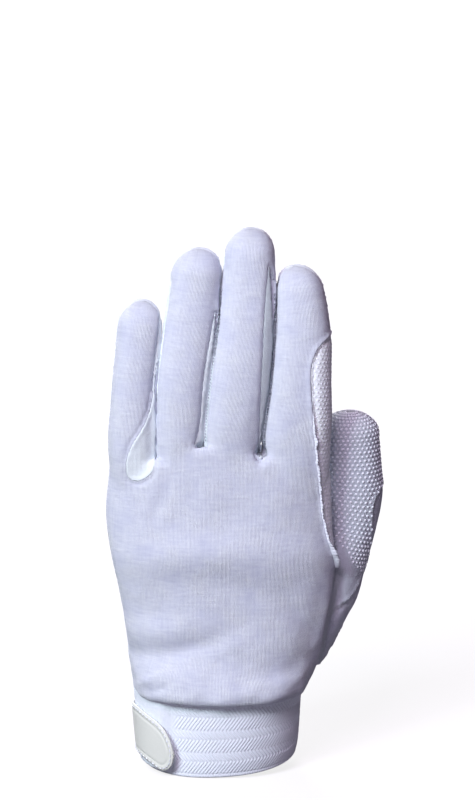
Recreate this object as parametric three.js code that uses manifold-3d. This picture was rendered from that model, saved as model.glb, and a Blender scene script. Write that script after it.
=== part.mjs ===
// A left-hand cotton grip glove, filled as if worn, in millimetres.
// The fingers point up (+Z), the back of the hand faces -Y, the palm +Y and the thumb +X.
// The origin is the middle of the wrist opening.
import * as THREE from 'three';
import { mergeVertices } from 'three/addons/utils/BufferGeometryUtils.js';
import Module from 'manifold-3d';

const wasm = await Module();
wasm.setup();

// Cloth thickness and the gaps between sewn pieces
const KNIT = 1.3;
const ELASTIC = 1.5;
const PATCH = 1.0;
const TAB = 1.2;
const SEAM_GAP = 0.3;
const THUMB_SEAM_REACH = 0.9;

// The hand's sections: how far each reaches to the little-finger side (left), the thumb side (right),
// the back and the palm. The first two rows are the fold that puffs over the wrist band.
const HAND = [
  { z: 29.6, left: -34.2, right: 35.8, back: -26.2, palm: 25.2 },
  { z: 27.6, left: -35.2, right: 37.6, back: -28.6, palm: 27.2 },
  { z: 30.5, left: -35.6, right: 39.4, back: -29.8, palm: 28.0 },
  { z: 37.0, left: -36.4, right: 42.0, back: -27.2, palm: 26.2 },
  { z: 48.0, left: -37.8, right: 45.6, back: -22.6, palm: 23.0 },
  { z: 62.0, left: -39.8, right: 48.6, back: -20.2, palm: 20.4 },
  { z: 82.0, left: -43.4, right: 49.4, back: -19.4, palm: 17.6 },
  { z: 100.0, left: -46.4, right: 48.4, back: -17.2, palm: 15.6 },
  { z: 118.0, left: -46.6, right: 48.0, back: -14.6, palm: 13.8 },
  { z: 128.0, left: -45.6, right: 47.2, back: -12.8, palm: 12.6 },
];
const HAND_SQUARENESS = 2.3;

// Where each pair of fingers parts, across the hand
const CROTCHES = [
  { x: -46, z: 124 },
  { x: -26, z: 128 },
  { x: -6, z: 135 },
  { x: 18, z: 131 },
  { x: 47, z: 124 },
];

// Each finger's axis and half sizes, from inside the palm to just under the tip
const FINGERS = [
  {
    name: 'little',
    tip: 195.5,
    rows: [
      { z: 108, x: -35.2, y: -0.6, wide: 8.6, deep: 8.6 },
      { z: 136, x: -35.8, y: -0.8, wide: 9.9, deep: 9.9 },
      { z: 160, x: -35.1, y: 1.0, wide: 9.0, deep: 9.2 },
      { z: 182, x: -32.7, y: 4.4, wide: 9.4, deep: 8.8 },
      { z: 196, x: -31.6, y: 6.4, wide: 8.4, deep: 8.0 },
    ],
  },
  {
    name: 'ring',
    tip: 216.8,
    rows: [
      { z: 108, x: -16.4, y: -1.0, wide: 9.2, deep: 11.2 },
      { z: 136, x: -15.8, y: -1.4, wide: 9.5, deep: 11.0 },
      { z: 160, x: -14.9, y: -0.4, wide: 10.7, deep: 10.4 },
      { z: 185, x: -11.4, y: 3.4, wide: 10.9, deep: 10.0 },
      { z: 206, x: -8.6, y: 7.4, wide: 10.6, deep: 9.4 },
      { z: 217, x: -7.6, y: 9.2, wide: 9.6, deep: 8.8 },
    ],
  },
  {
    name: 'middle',
    tip: 225.3,
    rows: [
      { z: 108, x: 6.0, y: -1.0, wide: 10.8, deep: 11.8 },
      { z: 136, x: 6.2, y: -1.6, wide: 11.9, deep: 11.6 },
      { z: 160, x: 9.0, y: -1.0, wide: 12.5, deep: 11.0 },
      { z: 185, x: 11.9, y: 2.4, wide: 11.7, deep: 10.4 },
      { z: 206, x: 13.4, y: 6.6, wide: 10.9, deep: 9.8 },
      { z: 225, x: 14.3, y: 9.6, wide: 9.8, deep: 9.2 },
    ],
  },
  {
    name: 'index',
    tip: 209.8,
    rows: [
      { z: 108, x: 33.2, y: -0.6, wide: 12.6, deep: 10.2 },
      { z: 136, x: 33.3, y: -0.8, wide: 14.5, deep: 11.8 },
      { z: 160, x: 35.1, y: 0.2, wide: 13.0, deep: 11.4 },
      { z: 185, x: 35.7, y: 3.4, wide: 11.5, deep: 10.6 },
      { z: 200, x: 34.6, y: 6.4, wide: 10.0, deep: 9.8 },
      { z: 210, x: 33.2, y: 8.0, wide: 9.2, deep: 9.0 },
    ],
  },
];
const FINGER_SQUARENESS = 2.2;
const FINGER_TIP_ROUNDING = 10.5;
const FINGER_ROOT = 108;

// The thumb and the ball of the thumb, held over the palm, by how far each section reaches
const THUMB = [
  { z: 33, left: 26.0, right: 40.0, back: -2.0, palm: 19.4 },
  { z: 37, left: 20.6, right: 44.4, back: -3.4, palm: 22.8 },
  { z: 44, left: 16.0, right: 49.0, back: -5.0, palm: 25.8 },
  { z: 54, left: 14.2, right: 54.4, back: -6.0, palm: 28.0 },
  { z: 64, left: 17.0, right: 59.8, back: -5.0, palm: 29.0 },
  { z: 76, left: 27.0, right: 62.8, back: -1.0, palm: 30.0 },
  { z: 92, left: 39.4, right: 67.4, back: 3.6, palm: 31.0 },
  { z: 107, left: 42.8, right: 69.9, back: 4.8, palm: 30.4 },
  { z: 120, left: 43.4, right: 69.4, back: 5.6, palm: 29.0 },
  { z: 134, left: 43.8, right: 68.4, back: 7.0, palm: 27.4 },
  { z: 144, left: 44.2, right: 67.4, back: 8.4, palm: 25.6 },
];
const THUMB_TIP = 143.8;
const THUMB_SQUARENESS = 2.25;
const THUMB_TIP_ROUNDING = 8.5;

// Soft folds and dents: a centre on the back or palm, half lengths along and across, turn and depth
const FOLDS = [
  { side: 'back', x: -25, z: 50, long: 26, wide: 5.5, turn: 20, depth: -2.2 },
  { side: 'back', x: -18, z: 60, long: 26, wide: 7.0, turn: 22, depth: 1.2 },
  { side: 'back', x: 10, z: 44, long: 30, wide: 5.0, turn: -8, depth: -1.5 },
  { side: 'back', x: 34, z: 66, long: 16, wide: 6.0, turn: -48, depth: -1.6 },
  { side: 'back', x: -2, z: 88, long: 40, wide: 13.0, turn: 4, depth: 1.3 },
  { side: 'back', x: 27, z: 112, long: 12, wide: 9.0, turn: 70, depth: 1.1 },
  { side: 'palm', x: -4, z: 122, long: 40, wide: 4.0, turn: 4, depth: -1.4 },
  { side: 'palm', x: -12, z: 96, long: 26, wide: 5.0, turn: -34, depth: -1.5 },
  { side: 'palm', x: -24, z: 66, long: 24, wide: 7.0, turn: 62, depth: 1.5 },
  { side: 'palm', x: 2, z: 47, long: 26, wide: 5.0, turn: 8, depth: -1.8 },
];

// The wrist band: its outer reach, from the hem to the seam under the puffed cloth
const BAND = [
  { z: 0, left: -31.4, right: 33.4, back: -23.6, palm: 22.8 },
  { z: 6, left: -32.0, right: 34.4, back: -24.4, palm: 23.4 },
  { z: 29.2, left: -34.2, right: 35.8, back: -25.8, palm: 24.8 },
];
const BAND_SQUARENESS = 2.15;
const HEM_TILT = { forward: 0.2, sideways: 0.05, pivot: 20 };
const BAND_SLIT = { angle: 152, wide: 2.4 };

// The closing tab and the patch under it, by turn round the band from the middle of the back
const CLOSING = {
  patchFrom: 33,
  patchTo: 122,
  patchLow: 1.5,
  patchHigh: 26.6,
  roundOver: 16,
  endLift: 1.6,
};

// The tab's lower and upper edges by turn, from its free end to the slit, without the round of its end
const TAB_EDGES = [
  { turn: 30.5, low: 1.0, high: 17.8 },
  { turn: 44, low: 2.0, high: 19.9 },
  { turn: 56, low: 3.6, high: 21.8 },
  { turn: 72, low: 4.2, high: 23.0 },
  { turn: 90, low: 3.0, high: 21.8 },
  { turn: 110, low: 1.8, high: 20.4 },
  { turn: 140, low: 2.4, high: 21.0 },
  { turn: 168, low: 3.6, high: 22.4 },
];

// The strips between the fingers: how far towards the back and the palm each lies on its two fingers
const STRIPS = [
  { name: 'strip_little_ring', low: 122, backLeft: -6.4, backRight: -2.6, palmLeft: 5.2, palmRight: 7.2 },
  { name: 'strip_ring_middle', low: 128, backLeft: -7.4, backRight: -3.0, palmLeft: 5.6, palmRight: 8.0 },
  { name: 'strip_middle_index', low: 124, backLeft: -7.8, backRight: -3.4, palmLeft: 5.8, palmRight: 8.2 },
];
const STRIP_TIP_CLEARANCE = 7;

// The rounded end of the little-ring strip, laid on the back of the hand: its outline seen from the back
const STRIP_END = [
  { x: -27.0, z: 156 },
  { x: -25.2, z: 143 },
  { x: -25.6, z: 132 },
  { x: -28.6, z: 124.5 },
  { x: -33.4, z: 121.0 },
  { x: -37.0, z: 125.0 },
  { x: -35.4, z: 134 },
  { x: -31.0, z: 144 },
];

// The side strip along the index finger and the hand: its edge on the back, from the thumb up
const SIDE_STRIP = [
  { z: 82, x: 51.6 },
  { z: 90, x: 47.6 },
  { z: 98, x: 45.6 },
  { z: 115, x: 43.2 },
  { z: 135, x: 41.6 },
  { z: 150, x: 40.6 },
  { z: 163, x: 40.2 },
  { z: 172, x: 41.8 },
  { z: 179, x: 47.0 },
];
const SIDE_STRIP_PALM_EDGE = 5.4;

// The plain outer strip of the thumb: its edge on the back view and how far it wraps to the palm
const THUMB_OUTER = [
  { z: 24, x: 37.4, wrap: 7 },
  { z: 38, x: 41.0, wrap: 8 },
  { z: 50, x: 45.4, wrap: 10 },
  { z: 60, x: 49.8, wrap: 15 },
  { z: 64, x: 54.4, wrap: 17 },
  { z: 72, x: 60.4, wrap: 20 },
  { z: 84, x: 63.8, wrap: 23 },
  { z: 100, x: 65.6, wrap: 25 },
  { z: 118, x: 66.0, wrap: 25 },
  { z: 127, x: 68.6, wrap: 22 },
];

// The raw edge that stands up along the side strip's seam: places along it, height and sideways sway
const RAW_EDGE = { from: 84, to: 150, steps: 22, thick: 1.1, high: 2.2, sway: 0.9, waves: 4.5 };

// Where the back meets the palm, seen from the side: it follows the fingers' bend
const SIDE_SEAM = [
  { z: 10, y: 0 },
  { z: 60, y: 0 },
  { z: 120, y: -0.4 },
  { z: 150, y: 0 },
  { z: 180, y: 3.4 },
  { z: 205, y: 7.2 },
  { z: 240, y: 12 },
];

const FINISHES = {
  plainKnit: { color: 0xf5f5fb, roughness: 0.9, metalness: 0 },
  dottedKnit: { color: 0xeceef5, roughness: 0.8, metalness: 0 },
  stripKnit: { color: 0xe9ebf0, roughness: 0.9, metalness: 0 },
  elastic: { color: 0xe6ebf2, roughness: 0.75, metalness: 0 },
  patch: { color: 0xf3f5f8, roughness: 0.95, metalness: 0 },
  vinyl: { color: 0xd5dad8, roughness: 0.5, metalness: 0 },
};

const { cos, sin, sqrt, abs, sign, PI, hypot, atan2, min, max } = Math;
const { lerp, degToRad, clamp } = THREE.MathUtils;

// A smooth value of one column of a table, at a place along its key column.
function columnAt(rows, column, place, key = 'z') {
  const last = rows.length - 1;
  const at = clamp(place, rows[0][key], rows[last][key]);
  let i = rows.findIndex((row) => row[key] >= at) - 1;
  i = clamp(i, 0, last - 1);
  const slope = (a, b) => (rows[b][column] - rows[a][column]) / (rows[b][key] - rows[a][key]);
  const step = rows[i + 1][key] - rows[i][key];
  const t = (at - rows[i][key]) / step;
  const leaving = slope(max(i - 1, 0), i + 1) * step;
  const arriving = slope(i, min(i + 2, last)) * step;
  const a = rows[i][column];
  const b = rows[i + 1][column];
  const t2 = t * t;
  const t3 = t2 * t;
  return (2 * t3 - 3 * t2 + 1) * a + (t3 - 2 * t2 + t) * leaving + (3 * t2 - 2 * t3) * b + (t3 - t2) * arriving;
}

// A closed three.js geometry as a solid that can be joined and cut.
function solidOf(geometry) {
  const bare = geometry.clone();
  bare.deleteAttribute('normal');
  bare.deleteAttribute('uv');
  const merged = mergeVertices(bare, 1e-4);
  return new wasm.Manifold(
    new wasm.Mesh({
      numProp: 3,
      vertProperties: Float32Array.from(merged.attributes.position.array),
      triVerts: Uint32Array.from(merged.index.array),
    }),
  );
}

// Moves every corner of a geometry by a function of its place.
function warped(geometry, place) {
  const corners = geometry.attributes.position;
  const from = new THREE.Vector3();
  for (let i = 0; i < corners.count; i += 1) {
    from.fromBufferAttribute(corners, i);
    const to = place(from);
    corners.setXYZ(i, to.x, to.y, to.z);
  }
  return geometry;
}

// A closed skin through rings, each a function of the turn (0 at +X, a quarter at +Y) and the reach, 0 to 1.
function loftedSkin(rings, around) {
  const levels = rings.length - 1;
  const skin = new THREE.CylinderGeometry(1, 1, 1, around, levels);
  skin.rotateX(PI / 2);
  return warped(skin, (corner) => {
    const level = clamp(Math.round((corner.z + 0.5) * levels), 0, levels);
    return rings[level](atan2(corner.y, corner.x), min(1, hypot(corner.x, corner.y)));
  });
}

// A point of a rounded-square section that is given by its reach on four sides.
function sectionPoint(reach, squareness, inset, turn, share) {
  const wide = (reach.right - reach.left) / 2 - inset;
  const deep = (reach.palm - reach.back) / 2 - inset;
  const power = 2 / squareness;
  const across = sign(cos(turn)) * abs(cos(turn)) ** power;
  const along = sign(sin(turn)) * abs(sin(turn)) ** power;
  return {
    x: (reach.left + reach.right) / 2 + wide * across * share,
    y: (reach.back + reach.palm) / 2 + deep * along * share,
  };
}

// How far the folds lift or sink the cloth at a point of the hand.
function foldLift(x, y, z) {
  return FOLDS.reduce((lift, fold) => {
    if ((fold.side === 'back') !== y < 0) return lift;
    const turn = degToRad(fold.turn);
    const along = ((x - fold.x) * cos(turn) + (z - fold.z) * sin(turn)) / fold.long;
    const across = ((z - fold.z) * cos(turn) - (x - fold.x) * sin(turn)) / fold.wide;
    const facing = clamp(abs(y) / 12, 0, 1);
    return lift + fold.depth * facing * Math.exp(-(along * along + across * across));
  }, 0);
}

// The hand from the puffed fold to the finger crotches. The lining, inset by the cloth, runs on down.
function handSkin(inset) {
  const rings = [];
  const addRing = (row, z, share) => {
    rings.push((turn, reach) => {
      const flat = sectionPoint(row, HAND_SQUARENESS, inset, turn, reach * share);
      const crotch = columnAt(CROTCHES, 'z', flat.x, 'x') - 128;
      const raise = crotch * clamp((z - 112) / 16, 0, 1.15);
      const lift = foldLift(flat.x, flat.y, z) * reach;
      return { x: flat.x, y: flat.y + sign(flat.y) * lift, z: z + raise };
    });
  };
  const seat = HAND[0];
  if (inset > 0) {
    addRing(seat, 20, 1);
    addRing(seat, HAND[2].z + 1.2, 1);
  } else {
    addRing(seat, seat.z, 1);
    addRing(HAND[1], HAND[1].z, 1);
    addRing(HAND[2], HAND[2].z, 1);
  }
  const heights = [36, 44, 54, 66, 82, 100, 116];
  heights.forEach((z) => addRing(sectionRow(HAND.slice(2), z), z, 1));
  const top = 128 - inset;
  addRing(sectionRow(HAND.slice(2), top), top - 2.5, 0.985);
  addRing(sectionRow(HAND.slice(2), top), top, 0.9);
  return loftedSkin(rings, 36);
}

// The four reaches of a table at one height.
function sectionRow(rows, z) {
  return {
    left: columnAt(rows, 'left', z),
    right: columnAt(rows, 'right', z),
    back: columnAt(rows, 'back', z),
    palm: columnAt(rows, 'palm', z),
  };
}

// The reach of a finger's section, from its axis and half sizes.
function fingerRow(finger, z) {
  const x = columnAt(finger.rows, 'x', z);
  const y = columnAt(finger.rows, 'y', z);
  const wide = columnAt(finger.rows, 'wide', z);
  const deep = columnAt(finger.rows, 'deep', z);
  return { left: x - wide, right: x + wide, back: y - deep, palm: y + deep };
}

// A finger or thumb: sections at the given heights, then a rounded tip.
function digitSkin(rowAt, heights, tip, rounding, squareness, inset, around) {
  const rings = [];
  const addRing = (z, share) => {
    const row = rowAt(z);
    rings.push((turn, reach) => ({ ...sectionPoint(row, squareness, inset, turn, reach * share), z }));
  };
  heights.forEach((z) => addRing(z, 1));
  [0, 0.5, 0.82].forEach((rise) => {
    addRing(tip - rounding + (rounding - inset) * rise, sqrt(1 - rise * rise));
  });
  addRing(tip - inset, 0.22);
  return loftedSkin(rings, around);
}

function fingerSkin(finger, inset) {
  const rowAt = (z) => fingerRow(finger, z);
  const span = finger.tip - FINGER_TIP_ROUNDING - FINGER_ROOT;
  const heights = [0, 0.3, 0.54, 0.78].map((share) => FINGER_ROOT + share * span);
  return digitSkin(rowAt, heights, finger.tip, FINGER_TIP_ROUNDING, FINGER_SQUARENESS, inset, 16);
}

function thumbSkin(inset) {
  const rowAt = (z) => sectionRow(THUMB, z);
  const heights = [33 + inset, 38, 46, 57, 69, 82, 96, 115];
  return digitSkin(rowAt, heights, THUMB_TIP, THUMB_TIP_ROUNDING, THUMB_SQUARENESS, inset, 18);
}

// The hand, fingers and thumb as one solid, grown inwards by the inset.
function handForm(inset) {
  let form = solidOf(handSkin(inset)).add(solidOf(thumbSkin(inset)));
  FINGERS.forEach((finger) => {
    form = form.add(solidOf(fingerSkin(finger, inset)));
  });
  return form;
}

// A block whose six sides follow functions: x and y limits at each height, from low to high.
function zone(low, high, steps, limits, across = 1) {
  const block = new THREE.BoxGeometry(1, 1, 1, across, 1, steps);
  return solidOf(
    warped(block, (corner) => {
      const share = corner.x + 0.5;
      const height = corner.z + 0.5;
      const place = limits(height, share);
      return {
        x: lerp(place.left, place.right, share),
        y: corner.y < 0 ? place.back : place.palm,
        z: lerp(low, place.top ?? high, height),
      };
    }),
  );
}

// The space of a strip between two fingers, from its crotch to points below the two tips.
function stripZone(index, grow) {
  const strip = STRIPS[index];
  const left = FINGERS[index];
  const right = FINGERS[index + 1];
  const low = strip.low - grow;
  return zone(low, low, 8, (height, across) => {
    const side = clamp((across - 0.25) / 0.5, 0, 1);
    const top = lerp(left.tip, right.tip, side) - STRIP_TIP_CLEARANCE + grow;
    const z = lerp(low, top, height);
    const bend = lerp(columnAt(left.rows, 'y', z), columnAt(right.rows, 'y', z), side);
    const taper = sqrt(1 - height ** 3) * 0.97 + 0.03;
    return {
      left: columnAt(left.rows, 'x', z),
      right: columnAt(right.rows, 'x', z),
      back: bend + lerp(strip.backLeft, strip.backRight, side) * taper - grow,
      palm: bend + lerp(strip.palmLeft, strip.palmRight, side) * taper + grow,
      top,
    };
  }, 4);
}

// A flat outline seen from the back, grown outwards and pushed through from one depth to another.
function outlineZone(points, grow, from, to) {
  const middle = new THREE.Vector2();
  points.forEach((point) => middle.add(new THREE.Vector2(point.x, point.z)));
  middle.divideScalar(points.length);
  const corners = points.map((point) => {
    const corner = new THREE.Vector2(point.x, point.z);
    const outwards = corner.clone().sub(middle).setLength(grow);
    return corner.add(outwards);
  });
  const outline = new THREE.Shape(new THREE.SplineCurve([...corners, corners[0]]).getPoints(20));
  const block = new THREE.ExtrudeGeometry(outline, { depth: to - from, bevelEnabled: false, steps: 1 });
  block.rotateX(PI / 2);
  block.translate(0, to, 0);
  return solidOf(block);
}

// The space of the side strip, beside its seam on the back.
function sideStripZone(grow) {
  const low = SIDE_STRIP[0].z - grow;
  const high = SIDE_STRIP.at(-1).z + grow;
  return zone(low, high, 11, (height) => ({
    left: columnAt(SIDE_STRIP, 'x', lerp(low, high, height)) - grow,
    right: 56,
    back: -40,
    palm: SIDE_STRIP_PALM_EDGE + grow,
  }));
}

// The space of the thumb's plain outer strip.
function thumbOuterZone(grow) {
  const low = THUMB_OUTER[0].z;
  const high = THUMB_OUTER.at(-1).z + grow;
  return zone(low, high, 11, (height) => ({
    left: columnAt(THUMB_OUTER, 'x', lerp(low, high, height)) - grow,
    right: 80,
    back: -45,
    palm: columnAt(THUMB_OUTER, 'wrap', lerp(low, high, height)) + grow,
  }));
}

// Everything behind or in front of the side seam.
function halfZone(isBack) {
  const half = SEAM_GAP / 2;
  return zone(10, 240, 10, (height) => {
    const seam = columnAt(SIDE_SEAM, 'y', lerp(10, 240, height));
    return {
      left: -90,
      right: 90,
      back: isBack ? -60 : seam + half,
      palm: isBack ? seam - half : 60,
    };
  });
}

// The hand's back surface, as a depth at a place seen from the back.
function backDepth(x, z) {
  const row = sectionRow(HAND.slice(2), z);
  const wide = (row.right - row.left) / 2;
  const deep = (row.palm - row.back) / 2;
  const across = min(0.995, abs(x - (row.left + row.right) / 2) / wide);
  const handBack = (row.back + row.palm) / 2 - deep * (1 - across ** HAND_SQUARENESS) ** (1 / HAND_SQUARENESS);
  const finger = FINGERS.at(-1);
  const reach = fingerRow(finger, z);
  const fingerWide = (reach.right - reach.left) / 2;
  const fingerDeep = (reach.palm - reach.back) / 2;
  const fingerAcross = min(0.995, abs(x - (reach.left + reach.right) / 2) / fingerWide);
  const rise = (1 - fingerAcross ** FINGER_SQUARENESS) ** (1 / FINGER_SQUARENESS);
  const fingerBack = (reach.back + reach.palm) / 2 - fingerDeep * rise;
  return z < 110 ? handBack : min(fingerBack, z < 128 ? handBack : 0);
}

// The raw edge: a thin upright strip that sways along the seam.
function rawEdge() {
  const points = [];
  for (let i = 0; i <= RAW_EDGE.steps; i += 1) {
    const share = i / RAW_EDGE.steps;
    const z = lerp(RAW_EDGE.from, RAW_EDGE.to, share);
    const ends = sin(PI * clamp(share, 0, 1)) ** 0.5;
    const sway = RAW_EDGE.sway * sin(share * RAW_EDGE.waves * 2 * PI) * ends;
    const x = columnAt(SIDE_STRIP, 'x', z) - RAW_EDGE.thick - 0.5 + sway * 0.5;
    points.push(new THREE.Vector3(x, backDepth(x, z) - RAW_EDGE.high / 2 + 0.7 * (2 - ends), z));
  }
  const half = RAW_EDGE.thick / 2;
  const profile = new THREE.Shape();
  profile.absellipse(0, 0, RAW_EDGE.high / 2, half, 0, 2 * PI);
  const path = new THREE.CatmullRomCurve3(points);
  return solidOf(
    new THREE.ExtrudeGeometry(profile, {
      extrudePath: path,
      steps: RAW_EDGE.steps,
      curveSegments: 3,
      bevelEnabled: false,
    }),
  );
}

// The band's lower edge hangs lower at the back of the hand and towards the little finger.
function hemDrop(x, y, z) {
  const hang = clamp(1 - z / BAND.at(-1).z, 0, 1);
  return hang * (HEM_TILT.forward * y + HEM_TILT.sideways * (x - HEM_TILT.pivot));
}

// A point of the wrist band at a turn from the middle of the back, towards the little finger.
function bandPoint(turnFromBack, z, outset) {
  const turn = -PI / 2 - degToRad(turnFromBack);
  const flat = sectionPoint(sectionRow(BAND, z), BAND_SQUARENESS, -outset, turn, 1);
  return { x: flat.x, y: flat.y, z: z + hemDrop(flat.x, flat.y, z) };
}

// A curved plate on the band: its turn, height and thickness limits, with edges by a function.
// Its steps are shorter towards its first turn.
function bandPlate(from, to, steps, outset, thick, edges) {
  const plate = new THREE.BoxGeometry(1, 1, 1, steps, 1, 2);
  const crowding = 1.5;
  return solidOf(
    warped(plate, (corner) => {
      const turn = lerp(from, to, (0.5 - corner.x) ** crowding);
      const { low, high, lift = 0 } = edges(turn);
      const z = lerp(low, high, corner.z + 0.5);
      return bandPoint(turn, z, outset + lift + (corner.y < 0 ? thick : 0));
    }),
  );
}

// The elastic band: a ring, open at its slit.
function wristBand() {
  const top = BAND.at(-1).z;
  const body = (inset, levels) => {
    const rings = levels.map((z) => (turn, reach) => {
      const flat = sectionPoint(sectionRow(BAND, z), BAND_SQUARENESS, inset, turn, reach);
      return { x: flat.x, y: flat.y, z: z + hemDrop(flat.x, flat.y, z) };
    });
    return solidOf(loftedSkin(rings, 40));
  };
  const turn = degToRad(BAND_SLIT.angle);
  const slit = new THREE.BoxGeometry(BAND_SLIT.wide, 60, 100);
  slit.translate(0, -30, 0);
  slit.rotateZ(-turn);
  return body(0, [0, 8, top]).subtract(body(ELASTIC, [-8, 8, top + 8])).subtract(solidOf(slit));
}

// The tab's half height shrinks in a round end at its free end, which stands off the patch a little.
function tabEdges(turn) {
  const share = clamp((turn - TAB_EDGES[0].turn) / CLOSING.roundOver, 0, 1);
  const low = columnAt(TAB_EDGES, 'low', turn, 'turn');
  const high = columnAt(TAB_EDGES, 'high', turn, 'turn');
  const round = sqrt(1 - (1 - share) ** 2) * 0.98 + 0.02;
  const half = ((high - low) / 2) * round;
  const middle = (high + low) / 2;
  return { low: middle - half, high: middle + half, lift: CLOSING.endLift * (1 - share) ** 2 };
}

function closingTab() {
  const outset = SEAM_GAP + PATCH + SEAM_GAP;
  return bandPlate(TAB_EDGES[0].turn, TAB_EDGES.at(-1).turn, 28, outset, TAB, tabEdges);
}

function loopPatch() {
  const edges = () => ({ low: CLOSING.patchLow, high: CLOSING.patchHigh });
  return bandPlate(CLOSING.patchFrom, CLOSING.patchTo, 14, SEAM_GAP, PATCH, edges);
}

// The largest of the bodies that a cut leaves, without its offcuts.
function mainBody(solid) {
  const bodies = solid.decompose();
  bodies.sort((a, b) => b.volume() - a.volume());
  return bodies[0];
}

// Each piece is the cloth inside its zone, with the cloth of the others cut back by the seam gap.
function sewnPieces() {
  let cloth = handForm(0).subtract(handForm(KNIT));
  const pieces = {};
  const take = (name, near, far) => {
    pieces[name] = mainBody(cloth.intersect(near));
    cloth = cloth.subtract(far);
  };
  take('thumb_outer', thumbOuterZone(0), thumbOuterZone(SEAM_GAP));
  take('thumb_front', solidOf(thumbSkin(-THUMB_SEAM_REACH)), solidOf(thumbSkin(-THUMB_SEAM_REACH - SEAM_GAP)));
  take('side_strip', sideStripZone(0), sideStripZone(SEAM_GAP));
  STRIPS.forEach((strip, index) => {
    let near = stripZone(index, 0);
    let far = stripZone(index, SEAM_GAP);
    if (index === 0) {
      near = near.add(outlineZone(STRIP_END, 0, -30, -2));
      far = far.add(outlineZone(STRIP_END, SEAM_GAP, -30, -2 + SEAM_GAP));
    }
    take(strip.name, near, far);
  });
  const edge = rawEdge().subtract(sideStripZone(SEAM_GAP)).subtract(handForm(KNIT));
  pieces.back_panel = mainBody(cloth.intersect(halfZone(true)).add(edge));
  pieces.palm_panel = mainBody(cloth.intersect(halfZone(false)));
  return pieces;
}

// A named mesh from a solid and a finish.
function meshOf(name, solid, finish) {
  const { vertProperties, triVerts } = solid.getMesh();
  const geometry = new THREE.BufferGeometry();
  geometry.setAttribute('position', new THREE.BufferAttribute(vertProperties, 3));
  geometry.setIndex(new THREE.BufferAttribute(triVerts, 1));
  geometry.computeVertexNormals();
  const mesh = new THREE.Mesh(geometry, new THREE.MeshStandardMaterial(finish));
  mesh.name = name;
  return mesh;
}

const sewn = sewnPieces();
const glove = new THREE.Group();
glove.add(
  meshOf('back_panel', sewn.back_panel, FINISHES.plainKnit),
  meshOf('palm_panel', sewn.palm_panel, FINISHES.dottedKnit),
  meshOf('strip_little_ring', sewn.strip_little_ring, FINISHES.stripKnit),
  meshOf('strip_ring_middle', sewn.strip_ring_middle, FINISHES.stripKnit),
  meshOf('strip_middle_index', sewn.strip_middle_index, FINISHES.stripKnit),
  meshOf('side_strip', sewn.side_strip, FINISHES.dottedKnit),
  meshOf('thumb_front', sewn.thumb_front, FINISHES.dottedKnit),
  meshOf('thumb_outer', sewn.thumb_outer, FINISHES.plainKnit),
  meshOf('wrist_band', wristBand(), FINISHES.elastic),
  meshOf('loop_patch', loopPatch(), FINISHES.patch),
  meshOf('closing_tab', closingTab(), FINISHES.vinyl),
);

export default glove;
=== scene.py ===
"""Dresses the left-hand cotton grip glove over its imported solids.

The frame is the solids' own: metres, fingers up (+Z), back of the hand to -Y, thumb to +X.
Sizes in this file are in millimetres, and each mesh is brought to metres when it is made.
"""

from __future__ import annotations

import logging
import math
from dataclasses import dataclass, field
from enum import Enum
from functools import partial
from typing import Callable, Iterable, Sequence

import bmesh
import bpy
import numpy as np
from mathutils import Matrix, Vector, noise
from mathutils.kdtree import KDTree

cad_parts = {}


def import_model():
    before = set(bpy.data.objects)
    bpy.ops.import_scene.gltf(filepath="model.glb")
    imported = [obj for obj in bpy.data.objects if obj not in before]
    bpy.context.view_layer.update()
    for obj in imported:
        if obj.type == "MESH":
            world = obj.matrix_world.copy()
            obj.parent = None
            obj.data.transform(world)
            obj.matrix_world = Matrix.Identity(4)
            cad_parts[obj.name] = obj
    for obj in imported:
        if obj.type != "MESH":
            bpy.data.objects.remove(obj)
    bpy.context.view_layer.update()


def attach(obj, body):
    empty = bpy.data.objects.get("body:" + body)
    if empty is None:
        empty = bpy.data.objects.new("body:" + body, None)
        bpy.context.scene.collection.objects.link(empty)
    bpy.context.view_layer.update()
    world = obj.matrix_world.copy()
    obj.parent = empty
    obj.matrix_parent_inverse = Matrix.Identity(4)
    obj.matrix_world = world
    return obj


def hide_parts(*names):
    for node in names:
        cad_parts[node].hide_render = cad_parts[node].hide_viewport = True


LOG = logging.getLogger("glove")
MM = 0.001
CM = 10.0  # a centimetre, in millimetres
UV_NAME = "cloth"
PIECE_LAYER = "piece"  # the face layer that holds each piece's mark
NEAR_LINE = 0.16  # a corner this near to a cut, in millimetres, lies on it
FOLD_FACING = (-0.1, 0.5)  # a fold starts and is full where the cloth faces its side by this much
STRIP_TURN = (0.42, 0.58)  # between these shares across, a strip turns from one finger to the next
TURN = 2 * math.pi
TINY = 1e-6  # keeps a division from zero
METRE = 1000.0  # a metre, in millimetres
DOWN = -0.9  # a face whose normal is lower than this faces down
FINE = 3.0  # the detail of fine noise
STITCH_SIDES, STITCH_RINGS = 8, 6
SIDES = ("left", "right", "back", "palm")
Points = np.ndarray
Span = tuple[float, float]
Triple = tuple[float, float, float]
Socket = bpy.types.NodeSocket
Piece = bpy.types.Object
Net = bmesh.types.BMesh
Field = Callable[[Points], Points]


class Panel(Enum):
    """The sewn pieces of the glove, by the name of the solid that each stands for."""

    BACK = "back_panel"
    PALM = "palm_panel"
    LITTLE_RING = "strip_little_ring"
    RING_MIDDLE = "strip_ring_middle"
    MIDDLE_INDEX = "strip_middle_index"
    SIDE = "side_strip"
    THUMB_FRONT = "thumb_front"
    THUMB_OUTER = "thumb_outer"

    @property
    def mark(self) -> int:
        """The number that marks this piece's faces; 0 marks cloth not given to a piece yet."""
        return list(Panel).index(self) + 1


STRIP_PANELS = (Panel.LITTLE_RING, Panel.RING_MIDDLE, Panel.MIDDLE_INDEX)


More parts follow.
